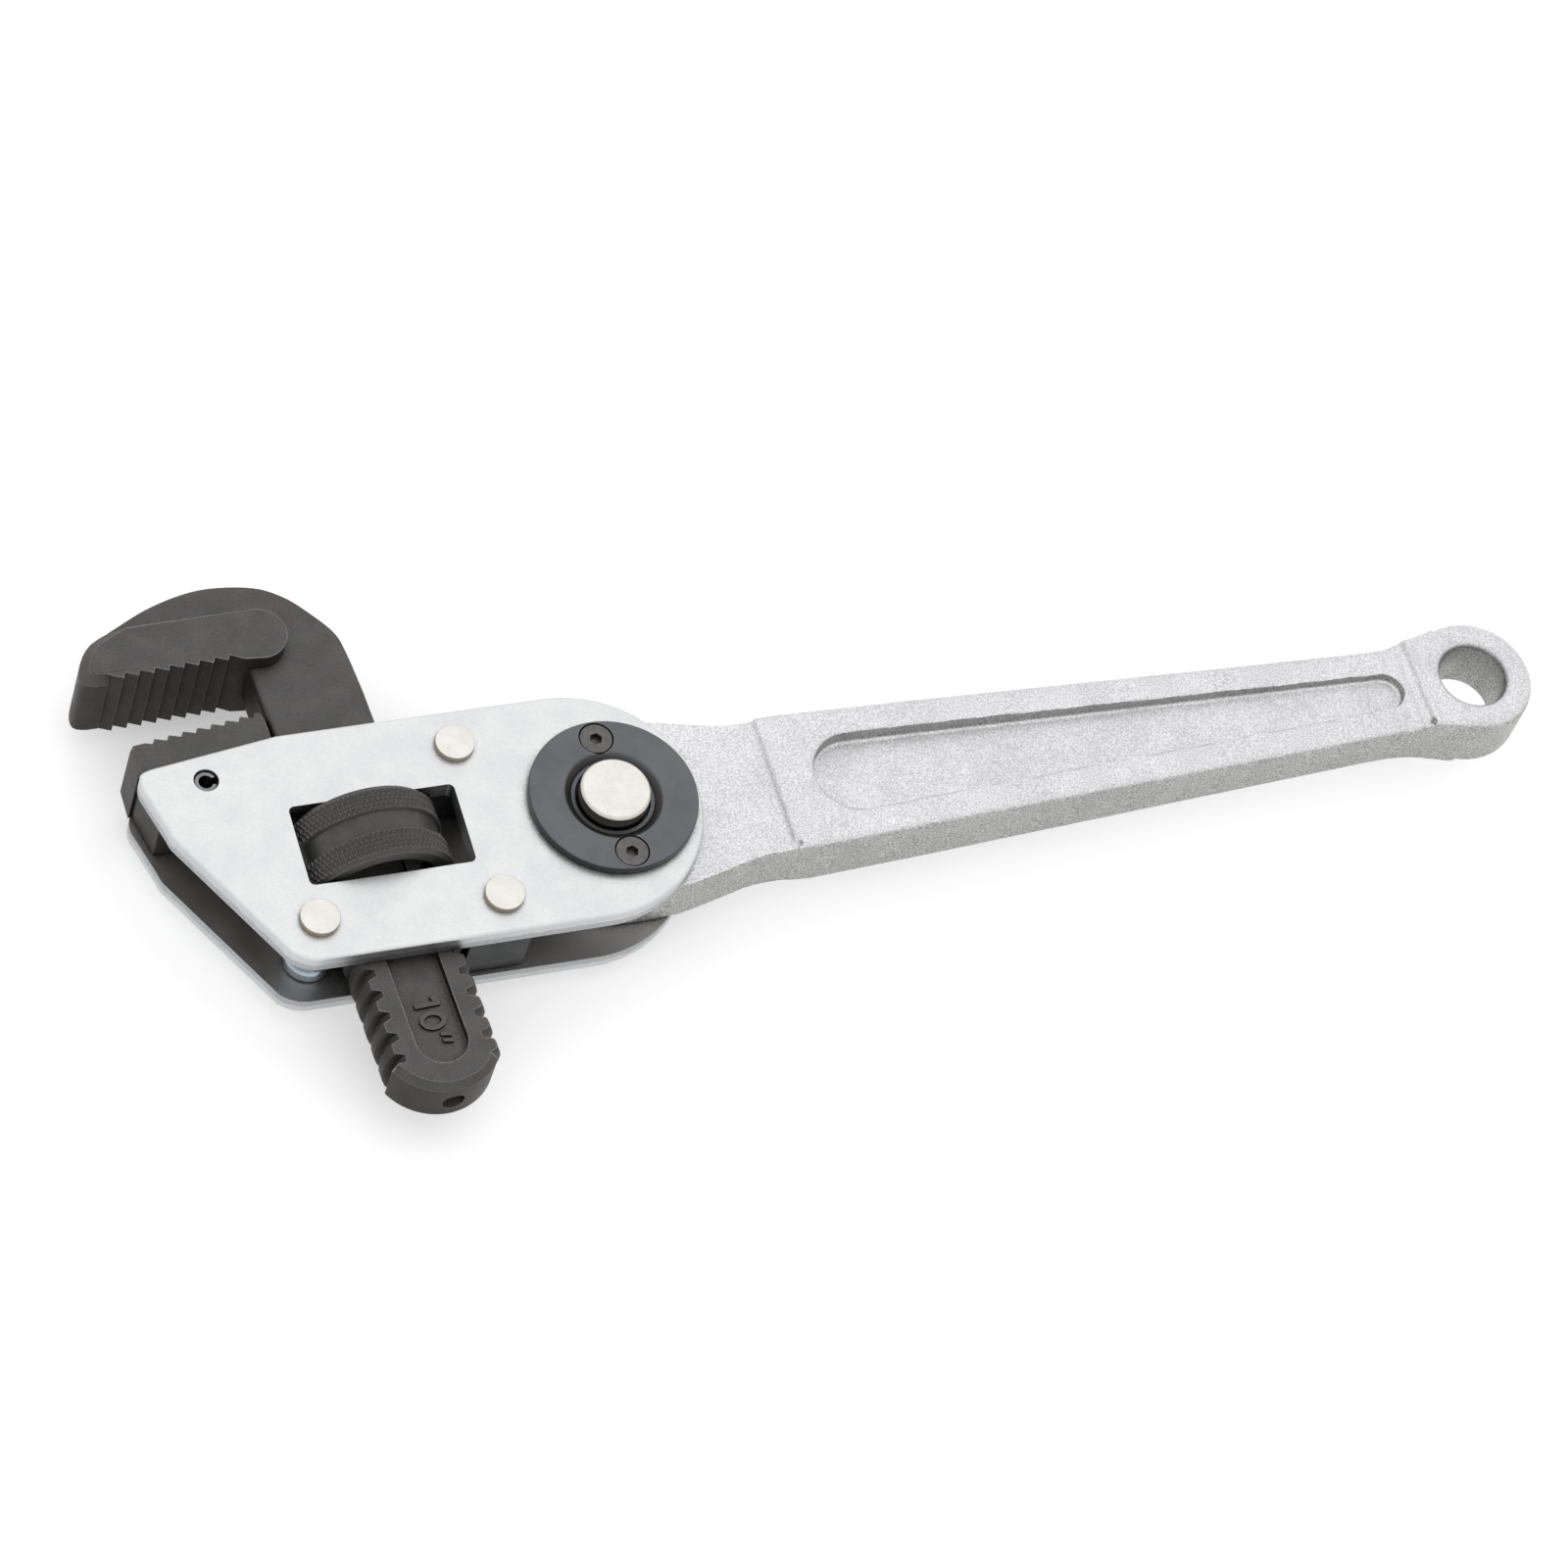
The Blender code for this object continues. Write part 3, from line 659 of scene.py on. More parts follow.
@dataclass
class SubAssembly:
    """A group of pieces that are built and dressed together."""

    finishes: Finishes

    def fit(self, piece: bpy.types.Object, finish: Finish, body: str, slot: str,
            *nodes: str) -> None:
        """Dress a finished piece, let it ride on its body, and put it in place of CAD nodes.

        Args:
            piece: Finished piece.
            finish: Its finish.
            body: Body that it rides on.
            slot: Name of its material slot; not used.
            nodes: CAD nodes that it takes the place of.
        """
        self.finishes.dress(piece, finish)
        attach(piece, body)
        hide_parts(*nodes)
        LOG.info("%s: %d faces, on %s", piece.name, len(piece.data.polygons), body)

    def dress_node(self, name: str, finish: Finish) -> None:
        """Give a CAD node that stays as it is its finish.

        Args:
            name: Name of the CAD node.
            finish: Its finish.
        """
        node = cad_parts[name]
        self.finishes.dress(node, finish)
        LOG.info("%s: kept from the frame", name)


# ---------------------------------------------------------------- frame
@dataclass
class SidePlates(SubAssembly):
    """The two blanked plates that carry everything else."""

    top: float = 22.1 * MM
    bottom: float = -22.4 * MM
    end_x: float = -6.3 * MM            # centre of the round end
    window: tuple[float, float, float, float] = (-56.4 * MM, -7.95 * MM, -26.85 * MM, 7.64 * MM)
    window_corner: float = 1.0 * MM
    lock_hole: float = 8.7 * MM
    pin_hole: float = PIN_HOLE
    rivet_hole: float = RIVET_HOLE
    rolled_edge: float = 0.6 * MM       # rounding that blanking leaves on the outer side
    cut_edge: float = 0.2 * MM

    def outline(self) -> list[Point]:
        """Outline of a plate, seen from the front.

        Returns:
            Its corners, in order.
        """
        half = (self.top - self.bottom) / 2
        points = curve([(-80.3 * MM, 15.2 * MM), (-80.25 * MM, 16.8 * MM), (-79.6 * MM, 18.4 * MM),
                        (-77.8 * MM, 19.05 * MM)], 4)
        points.append((-54.9 * MM, self.top))
        points += arc((self.end_x, self.top - half), half, 90, -90, 72)
        points += arc((-57.8 * MM, -15.4 * MM), 7.0 * MM, -90, -138, 12)
        points += arc((-71.8 * MM, 7.0 * MM), 6.0 * MM, 209, 187, 6)
        return points

    def window_outline(self) -> list[Point]:
        """Outline of the window that the nut stands in.

        Returns:
            Its corners, in order.
        """
        x0, y0, x1, y1 = self.window
        r = self.window_corner
        corners = ((x1 - r, y1 - r, 0), (x0 + r, y1 - r, 90), (x0 + r, y0 + r, 180),
                   (x1 - r, y0 + r, 270))
        return [p for x, y, a in corners for p in arc((x, y), r, a, a + 90, 5)]

    def holes(self) -> list[tuple[str, Point, float]]:
        """Name, centre and radius of every round hole.

        Returns:
            One entry for each hole.
        """
        pin = middle("heel_jaw_pin")
        found = [("lock", (0.0, 0.0), self.lock_hole), ("pin", (pin.x, pin.y), self.pin_hole)]
        for name in ("rivet_upper", "rivet_lower", "rivet_rear"):
            at = middle(name)
            found.append((name, (at.x, at.y), self.rivet_hole))
        return found

    def build(self) -> None:
        """Make both plates."""
        for name, side in (("front_plate", Side.FRONT), ("rear_plate", Side.REAR)):
            low, high = (corner.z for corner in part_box(name))
            outer = high if side is Side.FRONT else low
            plate = Bench.prism(f"{name}_detailed", self.outline(), low, high)
            Bench.ease_some(plate, level_edge(outer), self.rolled_edge, 4)
            window = Bench.prism("window_tool", self.window_outline(), low - MM, high + MM)
            Bench.combine(plate, window)
            for label, at, radius in self.holes():
                tool = Bench.prism(f"{label}_tool", arc(at, radius, 0, 360, 48)[:-1],
                                   low - MM, high + MM)
                Bench.combine(plate, tool)
            Bench.ease_some(plate, level_edge(outer), self.cut_edge, 2)
            Bench.shade(plate)
            self.fit(plate, ZINC_PLATE, "frame", "zinc_plate", name)


def middle(node: str) -> Vector:
    """Centre of a CAD node's box."""
    low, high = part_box(node)
    return (low + high) / 2


@dataclass
class FrameFasteners(SubAssembly):
    """Rivets, the split pin, and the pieces held between the plates."""

    head_edge: float = 0.16 * MM
    head_side: float = 0.03 * MM        # how much wider a head is at the plate
    dish: float = 0.05 * MM             # slight hollow that the rivet set leaves
    pin_wall: float = 0.75 * MM
    pin_slot: float = 22.0              # half of the slot's angle, in degrees
    pin_sunk: float = 0.35 * MM

    def rivet(self, name: str) -> None:
        """One rivet with its two set heads.

        Args:
            name: Name of the CAD node.
        """
        low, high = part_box(name)
        at = middle(name)
        head = (high.x - low.x) / 2
        shank = 1.5 * MM
        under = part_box("front_plate")[1].z
        half = [(shank, at.z), (shank, under), (head, under), (head, high.z - 2 * self.head_edge)]
        half += arc((head - self.head_side - self.head_edge, high.z - self.head_edge),
                    self.head_edge, 20, 90, 4)
        half += [(head * 0.55, high.z - self.dish * 0.6), (head * 0.25, high.z - self.dish),
                 (0, high.z - self.dish)]
        lower = [(r, 2 * at.z - z) for r, z in reversed(half[1:])]
        piece = Bench.turned(f"{name}_detailed", half + lower, 64)
        Bench.place(piece, (at.x, at.y, 0))
        Bench.shade(piece, 40)
        self.fit(piece, SATIN_NICKEL, "frame", "satin_nickel", name)

    def split_pin(self) -> None:
        """Spring pin rolled from strip, with its slot towards the handle."""
        low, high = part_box("heel_jaw_pin")
        at = middle("heel_jaw_pin")
        radius = (high.y - low.y) / 2
        slot = self.pin_slot
        outline = arc((at.x, at.y), radius, slot, 360 - slot, 40)
        outline += arc((at.x, at.y), radius - self.pin_wall, 360 - slot - 4, slot + 4, 40)
        piece = Bench.prism("heel_jaw_pin_detailed", outline, low.z + self.pin_sunk,
                            high.z - self.pin_sunk)
        Bench.ease(piece, 0.16 * MM, 2, 50)
        Bench.shade(piece)
        self.fit(piece, SPRING_STEEL, "frame", "black_oxide", "heel_jaw_pin")

    def guide_block(self, name: str) -> None:
        """Ground block beside the shank.

        Args:
            name: Name of the CAD node.
        """
        low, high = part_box(name)
        outline = [(low.x, low.y), (high.x, low.y), (high.x, high.y), (low.x, high.y)]
        piece = Bench.prism(f"{name}_detailed", outline, low.z, high.z)
        Bench.ease(piece, 0.3 * MM, 3)
        Bench.shade(piece)
        self.fit(piece, BLACK_OXIDE, "frame", "black_oxide", name)

    def sleeve(self) -> None:
        """Spacer round the rear rivet, with a wider foot on the rear plate."""
        low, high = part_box("spacer_sleeve")
        at = middle("spacer_sleeve")
        foot = (high.x - low.x) / 2
        neck = foot - 0.6 * MM
        bore = RIVET_HOLE
        profile = [(bore, low.z), (foot - 0.15 * MM, low.z), (foot, low.z + 0.15 * MM),
                   (foot, low.z + 2.0 * MM), (foot - 0.2 * MM, low.z + 2.2 * MM),
                   (neck, low.z + 2.4 * MM), (neck, high.z), (bore, high.z)]
        piece = Bench.turned("spacer_sleeve_detailed", profile, 64)
        Bench.place(piece, (at.x, at.y, 0))
        Bench.shade(piece)
        self.fit(piece, BRIGHT_ZINC, "frame", "zinc_plate", "spacer_sleeve")

    def build(self) -> None:
        """Make every fastener and inner piece of the frame."""
        for name in ("rivet_upper", "rivet_lower", "rivet_rear"):
            self.rivet(name)
        self.split_pin()
        for name in ("upper_guide_block", "lower_guide_block"):
            self.guide_block(name)
        self.sleeve()
        self.dress_node("leaf_spring", BLACK_OXIDE)


@dataclass
class HeelJaw(SubAssembly):
    """Fixed jaw: toothed head on the plates, body pinned between them."""

    first_tip: Point = (-75.1 * MM, 26.2 * MM)
    last_tip: Point = (-56.67 * MM, 28.53 * MM)
    teeth: int = 8
    depth: float = 1.0 * MM
    half_head: float = 6.5 * MM
    half_body: float = HALF_CORE
    edge: float = 0.18 * MM

    def tooth_points(self) -> list[Point]:
        """Saw teeth that rise towards the shank, steep on the mouth side.

        Returns:
            The root side and the tip of each tooth, in order.
        """
        points: list[Point] = []
        for i in range(self.teeth):
            part = i / (self.teeth - 1)
            x, y = (a + (b - a) * part for a, b in zip(self.first_tip, self.last_tip))
            points += [(x - 0.4 * MM, y - self.depth), (x, y)]
        return points

    def build(self) -> None:
        """Make the jaw."""
        mid = middle("heel_jaw").z
        head = [(-79.9 * MM, 18.6 * MM), (-79.9 * MM, 24.2 * MM), (-79.0 * MM, 25.4 * MM),
                (-76.8 * MM, 25.6 * MM), *self.tooth_points(), (-55.6 * MM, 28.3 * MM),
                (-55.15 * MM, 26.6 * MM), (-54.9 * MM, 22.3 * MM), (-77.9 * MM, 19.15 * MM)]
        jaw = Bench.prism("heel_jaw_detailed", head, mid - self.half_head, mid + self.half_head)
        Bench.ease(jaw, self.edge, 2)
        body = [(-79.3 * MM, 17.0 * MM), (-79.3 * MM, 21.5 * MM), (-54.95 * MM, 24.0 * MM),
                (-54.2 * MM, 10.0 * MM), (-77.8 * MM, 10.0 * MM)]
        tool = Bench.prism("heel_body_tool", body, mid - self.half_body, mid + self.half_body)
        Bench.ease(tool, self.edge, 2)
        Bench.combine(jaw, tool, "UNION")
        at = middle("heel_jaw_pin")
        hole = Bench.prism("pin_tool", arc((at.x, at.y), PIN_HOLE, 0, 360, 40)[:-1], 0, 25 * MM)
        Bench.combine(jaw, hole)
        Bench.shade(jaw)
        self.fit(jaw, PHOSPHATE, "frame", "phosphate", "heel_jaw")


# ---------------------------------------------------------------- hook jaw and nut
@dataclass
class JawAxis:
    """Where the tilted jaw axis lies, and how a piece made upright is put on it."""

    at: tuple[float, float, float] = (-42.9 * MM, 0.0, MIDDLE)
    tilt: float = math.radians(3)

    def mount(self, piece: bpy.types.Object, tip: float = 0.0) -> None:
        """Tilt a piece on to the axis."""
        Bench.place(piece, self.at, self.tilt, tip)


@dataclass
class HookJaw(SubAssembly):
    """Movable jaw: threaded shank with a sunk panel, hook, and toothed block."""

    axis: JawAxis = field(default_factory=JawAxis)
    half_core: float = HALF_CORE        # half thickness between the flats
    crest: float = 10.2 * MM
    root: float = 8.8 * MM
    pitch: float = 4.2 * MM
    thread_low: float = -44.4 * MM
    thread_high: float = 18.6 * MM
    thread_shift: float = 0.75 * MM     # height of a thread root on the +X side
    steps_per_turn: int = 24
    nose_centre: float = -37.4 * MM
    nose_radius: float = 10.9 * MM
    nose_bevel: float = 1.3 * MM
    nose_tops: Point = (-43.2 * MM, -42.2 * MM)     # where it starts on the +X and -X sides
    nose_ends: Point = (-37.0, -154.0)  # angles where its arc starts and ends
    end_hole: float = 2.0 * MM
    panel: float = 4.6 * MM             # half width of the sunk panel, and its end radius
    panel_end: float = -38.7 * MM
    panel_depth: float = 1.6 * MM
    numeral_start: float = -30.9 * MM
    numeral_height: float = 0.75 * MM
    half_boss: float = 8.6 * MM
    tooth_pitch: float = 2.69 * MM
    tooth_depth: float = 1.0 * MM
    first_root: Point = (-35.1 * MM, 40.5 * MM)
    teeth: int = 9

    def thread_radius(self, height: float, angle: float) -> float:
        """Radius of the right-hand thread at a height and an angle round the shank.

        Args:
            height: Height along the shank.
            angle: Angle round it, in radians.

        Returns:
            The radius.
        """
        phase = ((height - self.thread_shift) / self.pitch - angle / math.tau) % 1.0
        flank = min(1.0, max(0.0, 3.4 * abs(2 * phase - 1) - 0.9))
        return self.root + (self.crest - self.root) * flank

    def shank_ring(self, height: float) -> list[tuple[float, float, float]]:
        """Section of the shank: a circle of the thread's radius between the two flats.

        Args:
            height: Height along the shank.

        Returns:
            Its places, in order.
        """
        count = 12
        levels = [self.half_core * (2 * k / count - 1) for k in range(count + 1)]
        ring = []
        for side, heights in ((1, levels), (-1, levels[::-1])):
            for z in heights:
                radius = self.thread_radius(height, -math.atan2(z, side * self.root))
                if height < self.nose_tops[0 if side > 0 else 1]:
                    fall = height - self.nose_centre
                    radius = min(radius, math.sqrt(self.nose_radius ** 2 - fall ** 2) - 0.3 * MM)
                ring.append((side * math.sqrt(radius ** 2 - z ** 2), height, z))
        return ring

    def shank(self) -> bpy.types.Object:
        """Threaded part of the jaw.

        Returns:
            The new piece.
        """
        span = self.thread_high - self.thread_low
        count = round(span / self.pitch * self.steps_per_turn)
        heights = [self.thread_low + span * i / count for i in range(count + 1)]
        return Bench.loft("hook_jaw_detailed", [self.shank_ring(h) for h in heights])

    def nose(self) -> bpy.types.Object:
        """Rounded lower end with its bevelled rim.

        Returns:
            The new piece.
        """
        half = self.half_core - 0.01 * MM
        levels = [(-half, self.nose_bevel), (-half + self.nose_bevel, 0.0),
                  (half - self.nose_bevel, 0.0), (half, self.nose_bevel)]
        rings = []
        for z, inset in levels:
            outline = arc((0, self.nose_centre), self.nose_radius - inset, *self.nose_ends, 40)
            rings.append([(x, y, z) for x, y in outline])
        return Bench.loft("nose_tool", rings)

    def web(self) -> bpy.types.Object:
        """Flat hook between the shank and the toothed block.

        Returns:
            The new piece.
        """
        inner = 2.6 * MM
        crown = curve([(8.3 * MM, 30.0 * MM), (7.85 * MM, 38.5 * MM), (6.96 * MM, 43.0 * MM),
                       (3.72 * MM, 48.0 * MM), (0.32 * MM, 51.9 * MM), (-4.24 * MM, 54.7 * MM),
                       (-11.4 * MM, 56.15 * MM), (-17.5 * MM, 55.9 * MM), (-24.3 * MM, 54.2 * MM),
                       (-30.5 * MM, 51.6 * MM), (-34.5 * MM, 49.8 * MM)], 6)
        outline = [(-10.1 * MM, 17.0 * MM), (8.4 * MM, 17.0 * MM), *crown,
                   (-37.0 * MM, 46.0 * MM), (-34.0 * MM, 43.0 * MM),
                   (-10.1 * MM - inner, 42.0 * MM),
                   *arc((-10.1 * MM - inner, 42.0 * MM - inner), inner, 90, 0, 8)]
        half = self.half_core + 0.01 * MM
        web = Bench.prism("web_tool", outline, -half, half)
        mouth = -9.9 * MM
        for level in (half, -half):
            at_face = level_edge(level)
            Bench.ease_some(web, lambda e: at_face(e) and all(
                v.co.x < mouth and 16 * MM < v.co.y < 42.5 * MM for v in e.verts), 1.4 * MM, 4,
                clamp=False)
        for level in (half, -half):
            at_face = level_edge(level)
            Bench.ease_some(web, lambda e: at_face(e) and all(
                v.co.x > mouth - 30 * MM and (v.co.x > 6 * MM or v.co.y > 43.5 * MM)
                for v in e.verts), 0.35 * MM, 2)
        return web

    def boss(self) -> bpy.types.Object:
        """Toothed block across the end of the hook.

        Returns:
            The new piece.
        """
        x0, y0 = self.first_root
        teeth: list[Point] = []
        for i in range(self.teeth):
            root = (x0 + i * self.tooth_pitch, y0 - i * 0.04 * MM)
            teeth += [(root[0] - 0.5 * MM, root[1] - self.tooth_depth), root]
        left = curve([(-33.4 * MM, 49.4 * MM), (-36.2 * MM, 48.1 * MM), (-38.3 * MM, 46.0 * MM),
                      (-39.8 * MM, 43.2 * MM), (-40.1 * MM, 41.2 * MM), (-39.4 * MM, 40.1 * MM),
                      (-37.6 * MM, 39.6 * MM)], 2)
        right = arc((-7.3 * MM, 43.4 * MM), 5.05 * MM, -96, 90, 30)
        outline = [*left, *teeth, (-11.3 * MM, 38.9 * MM), *right]
        boss = Bench.prism("boss_tool", outline, -self.half_boss, self.half_boss)
        for level in (self.half_boss, -self.half_boss):
            at_face = level_edge(level)
            Bench.ease_some(boss, lambda e: at_face(e) and all(
                v.co.x < -33.0 * MM and v.co.y > 39.5 * MM for v in e.verts), 1.6 * MM, 1,
                clamp=False)
        Bench.ease(boss, 0.16 * MM, 2, 30)
        return boss

    def numeral(self) -> list[bpy.types.Object]:
        """Raised size numeral on the panel, a plain 10 with inch marks, reading down the shank.

        Returns:
            One piece for each sign.
        """
        one = [(0.0, -2.3), (0.9, -2.3), (0.9, 2.3), (0.2, 2.3), (-0.9, 1.6), (-0.9, 0.75), (0.0, 1.2)]
        zero, inside = ([(3.6 + a * math.cos(t), b * math.sin(t)) for t in
                         (math.tau * i / 40 for i in range(40))] for a, b in ((1.8, 2.3), (1.0, 1.5)))
        marks = [[(x, 0.5), (x + 0.6, 0.5), (x + 1.0, 2.3), (x + 0.2, 2.3)] for x in (6.1, 7.3)]
        low = self.half_core - self.panel_depth - 0.2 * MM
        pieces = []
        for number, shape in enumerate((one, zero, inside, *marks)):
            outline = [(y * MM, self.numeral_start - x * MM) for x, y in shape]
            piece = Bench.prism(f"numeral_{number}", outline, low, low + self.numeral_height)
            if shape is inside:
                Bench.combine(pieces[-1], piece)
            else:
                pieces.append(piece)
        for piece in pieces:
            Bench.ease_some(piece, level_edge(low + self.numeral_height), 0.14 * MM, 2)
        return pieces

    def build(self) -> None:
        """Make the jaw upright, and put it on its axis."""
        jaw = self.shank()
        Bench.combine(jaw, self.nose(), "UNION")
        Bench.combine(jaw, self.web(), "UNION")
        Bench.combine(jaw, self.boss(), "UNION")
        half = [(self.panel, 12 * MM), (-self.panel, 12 * MM)]
        outline = half + arc((0, self.panel_end), self.panel, 180, 360, 32)
        for side in (Side.FRONT, Side.REAR):
            floor = side.value * (self.half_core - self.panel_depth)
            low, high = sorted((floor, side.value * (self.half_core + MM)))
            tool = Bench.prism("panel_tool", outline, low, high)
            Bench.ease_some(tool, level_edge(floor), 0.25 * MM, 2)
            Bench.combine(jaw, tool)
        hole = Bench.prism("hole_tool", arc((0, 0), self.end_hole, 0, 360, 32)[:-1], 0, 6 * MM)
        Bench.place(hole, (0, -44.6 * MM, 0), 0.0, math.pi / 2)
        Bench.combine(jaw, hole)
        for piece in self.numeral():
            Bench.combine(jaw, piece, "UNION")
        self.axis.mount(jaw)
        Bench.shade(jaw, 30)
        self.fit(jaw, PHOSPHATE, "hook_jaw", "phosphate", "hook_jaw")


@dataclass
class AdjustingNut(SubAssembly):
    """Nut with two diamond-knurled bands and a plain groove between them."""

    axis: JawAxis = field(default_factory=JawAxis)
    radius: float = 14.1 * MM
    half: float = 6.8 * MM
    groove_half: float = 1.8 * MM
    groove_depth: float = 0.8 * MM
    chamfer: float = 0.8 * MM
    bore: float = 10.45 * MM
    diamonds: int = 92                  # knurl pitch of 0.96 mm
    knurl_depth: float = 0.42 * MM
    knurl_angle: float = math.radians(30)
    around: int = 5                     # points across one diamond
    row: float = 0.22 * MM

    def knurl(self, angle: float, height: float) -> float:
        """How far the knurl is cut below its points, from the two crossing sets of grooves.

        Args:
            angle: Angle round the nut, in radians.
            height: Height along the nut.

        Returns:
            Depth of the cut.
        """
        turn = self.diamonds * angle / math.tau
        rise = self.diamonds * height / (math.tau * self.radius) * math.tan(self.knurl_angle)
        first, second = (1 - abs(2 * ((turn + sign * rise) % 1.0) - 1) for sign in (1, -1))
        return self.knurl_depth * (1 - min(1.0, 1.15 * min(first, second)))

    def rows(self) -> list[tuple[float, float, float]]:
        """Height, radius and share of knurl of each ring, from bottom to top.

        Returns:
            One entry for each ring.
        """
        plain = self.radius - self.groove_depth
        band_low = self.groove_half + 0.35 * MM
        band_high = self.half - self.chamfer
        count = round((band_high - band_low) / self.row)
        upper = [(0.0, plain, 0.0), (self.groove_half, plain, 0.0),
                 (band_low, self.radius, 0.6)]
        upper += [(band_low + (band_high - band_low) * i / count, self.radius, 1.0)
                  for i in range(1, count)]
        upper += [(band_high, self.radius, 0.7), (self.half - 0.3 * MM, self.radius - 0.55 * MM, 0.2),
                  (self.half, self.radius - self.chamfer, 0.0)]
        return [(-h, r, k) for h, r, k in reversed(upper[1:])] + upper

    def build(self) -> None:
        """Make the nut upright, bore it, and put it on its axis."""
        count = self.diamonds * self.around
        rings = []
        for height, radius, share in self.rows():
            ring = []
            for i in range(count):
                angle = math.tau * i / count
                reach = radius - share * self.knurl(angle, height)
                ring.append((reach * math.cos(angle), reach * math.sin(angle), height))
            rings.append(ring)
        nut = Bench.loft("adjusting_nut_detailed", rings)
        lip = 0.7 * MM
        bore = Bench.turned("bore_tool", [
            (0, -self.half - MM), (self.bore + lip + MM, -self.half - MM),
            (self.bore, -self.half + lip), (self.bore, self.half - lip),
            (self.bore + lip + MM, self.half + MM), (0, self.half + MM)], 96)
        Bench.combine(nut, bore)
        self.axis.mount(nut, -math.pi / 2)
        Bench.shade(nut, 40, weighted=False)
        self.fit(nut, NUT_PHOSPHATE, "adjusting_nut", "nut_phosphate", "adjusting_nut")


# ---------------------------------------------------------------- handle lock
@dataclass
class LockSet(SubAssembly):
    """Dished ring and cover on the plates, their screws, and the push button."""

    dish: float = 8.9 * MM
    dish_floor: float = 7.35 * MM
    dish_depth: float = 1.2 * MM
    hole: float = 6.6 * MM
    edge: float = 0.35 * MM
    screw_room: float = 0.24 * MM
    socket: float = 1.155 * MM          # corner radius of the 2 mm hex socket
    socket_depth: float = 1.1 * MM
    press: float = 3.5 * MM             # travel of the button
    wire: float = 0.45 * MM             # radius of the spring's wire
    spring_turns: int = 6

    def screw_profile(self, node: str, side: Side, room: float) -> list[Point]:
        """Countersunk screw, or with room round it the hole for it, as drawn on the front.

        Args:
            node: Name of the screw's CAD node.
            side: Side that its head is on.
            room: Clearance round it, or nothing for the screw itself.

        Returns:
            Corners of the profile, as radius and height.
        """
        low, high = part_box(node)
        face = high.z if side is Side.FRONT else -low.z
        end = low.z if side is Side.FRONT else -high.z
        head = (high.x - low.x) / 2
        top = face + (MM if room else 0.0)
        return [(0, end), (1.4 * MM + room, end), (1.4 * MM + room, face - 1.6 * MM - room),
                (head + room, face - 0.25 * MM), (head + room, top - (0 if room else 0.08 * MM)),
                (head + room - (0 if room else 0.08 * MM), top), (0, top)]

    def screw(self, node: str, side: Side) -> None:
        """One countersunk screw with a hexagon socket.

        Args:
            node: Name of the CAD node.
            side: Side that its head is on.
        """
        at = middle(node)
        profile = self.screw_profile(node, side, 0.0)
        top = profile[-1][1]
        screw = Bench.turned(f"{node}_detailed", profile, 48)
        socket = Bench.prism("socket_tool", arc((0, 0), self.socket, 12, 372, 6)[:-1],
                             top - self.socket_depth, top + MM)
        Bench.combine(screw, socket)
        Bench.ease_some(screw, lambda e: level_edge(top)(e) and e.calc_length() < 2 * self.socket
                        and max(v.co.xy.length for v in e.verts) < 1.5 * MM, 0.07 * MM, 1)
        self.turn_over(screw, side)
        Bench.place(screw, (at.x, at.y, 0))
        Bench.shade(screw)
        self.fit(screw, SCREW_STEEL, "frame", "screw_steel", node)

    @staticmethod
    def turn_over(piece: bpy.types.Object, side: Side) -> None:
        """Turn a piece made for the front round to the rear."""
        if side is Side.REAR:
            Bench.place(piece, (0, 0, 0), 0.0, math.pi)

    def drill(self, piece: bpy.types.Object, nodes: Iterable[str], side: Side) -> None:
        """Countersink a cover for its screws.

        Args:
            piece: Cover to drill.
            nodes: Names of the screws' CAD nodes.
            side: Side that their heads are on.
        """
        for node in nodes:
            at = middle(node)
            tool = Bench.turned("screw_tool", self.screw_profile(node, side, self.screw_room), 48)
            self.turn_over(tool, side)
            Bench.place(tool, (at.x, at.y, 0))
            Bench.combine(piece, tool)

    def ring(self) -> None:
        """Front ring, dished round the button."""
        low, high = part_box("front_lock_ring")
        outer = (high.x - low.x) / 2
        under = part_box("front_plate")[1].z
        top = high.z
        sweep = self.dish - self.dish_floor
        floor = top - self.dish_depth
        lip = [(self.dish_floor, floor), (self.dish_floor + 0.72 * sweep, top - 0.22 * MM),
               (self.dish_floor + 0.84 * sweep, top - 0.10 * MM),
               (self.dish_floor + 0.92 * sweep, top - 0.03 * MM), (self.dish, top)]
        profile = [(self.hole, under), (outer - 0.15 * MM, under), (outer, under + 0.15 * MM),
                   *arc((outer - self.edge, top - self.edge), self.edge, 0, 90, 4),
                   *reversed(lip), (self.hole + 0.1 * MM, floor), (self.hole, floor - 0.1 * MM)]
        piece = Bench.turned("front_lock_ring_detailed", profile, 160)
        self.drill(piece, ("front_screw_upper", "front_screw_lower"), Side.FRONT)
        Bench.shade(piece, 30)
        self.fit(piece, RING_OXIDE, "frame", "ring_oxide", "front_lock_ring")

    def cover(self) -> None:
        """Closed rear cover."""
        low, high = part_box("rear_cover")
        outer = (high.x - low.x) / 2
        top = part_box("rear_plate")[0].z
        edge = self.edge
        profile = [(0, low.z), (outer - 4 * MM, low.z), *arc((outer - edge, low.z + edge), edge,
                   -90, 0, 4), (outer, top), (0, top)]
        piece = Bench.turned("rear_cover_detailed", profile, 160)
        self.drill(piece, ("rear_screw_upper", "rear_screw_lower"), Side.REAR)
        Bench.shade(piece, 30)
        self.fit(piece, RING_OXIDE, "frame", "ring_oxide", "rear_cover")

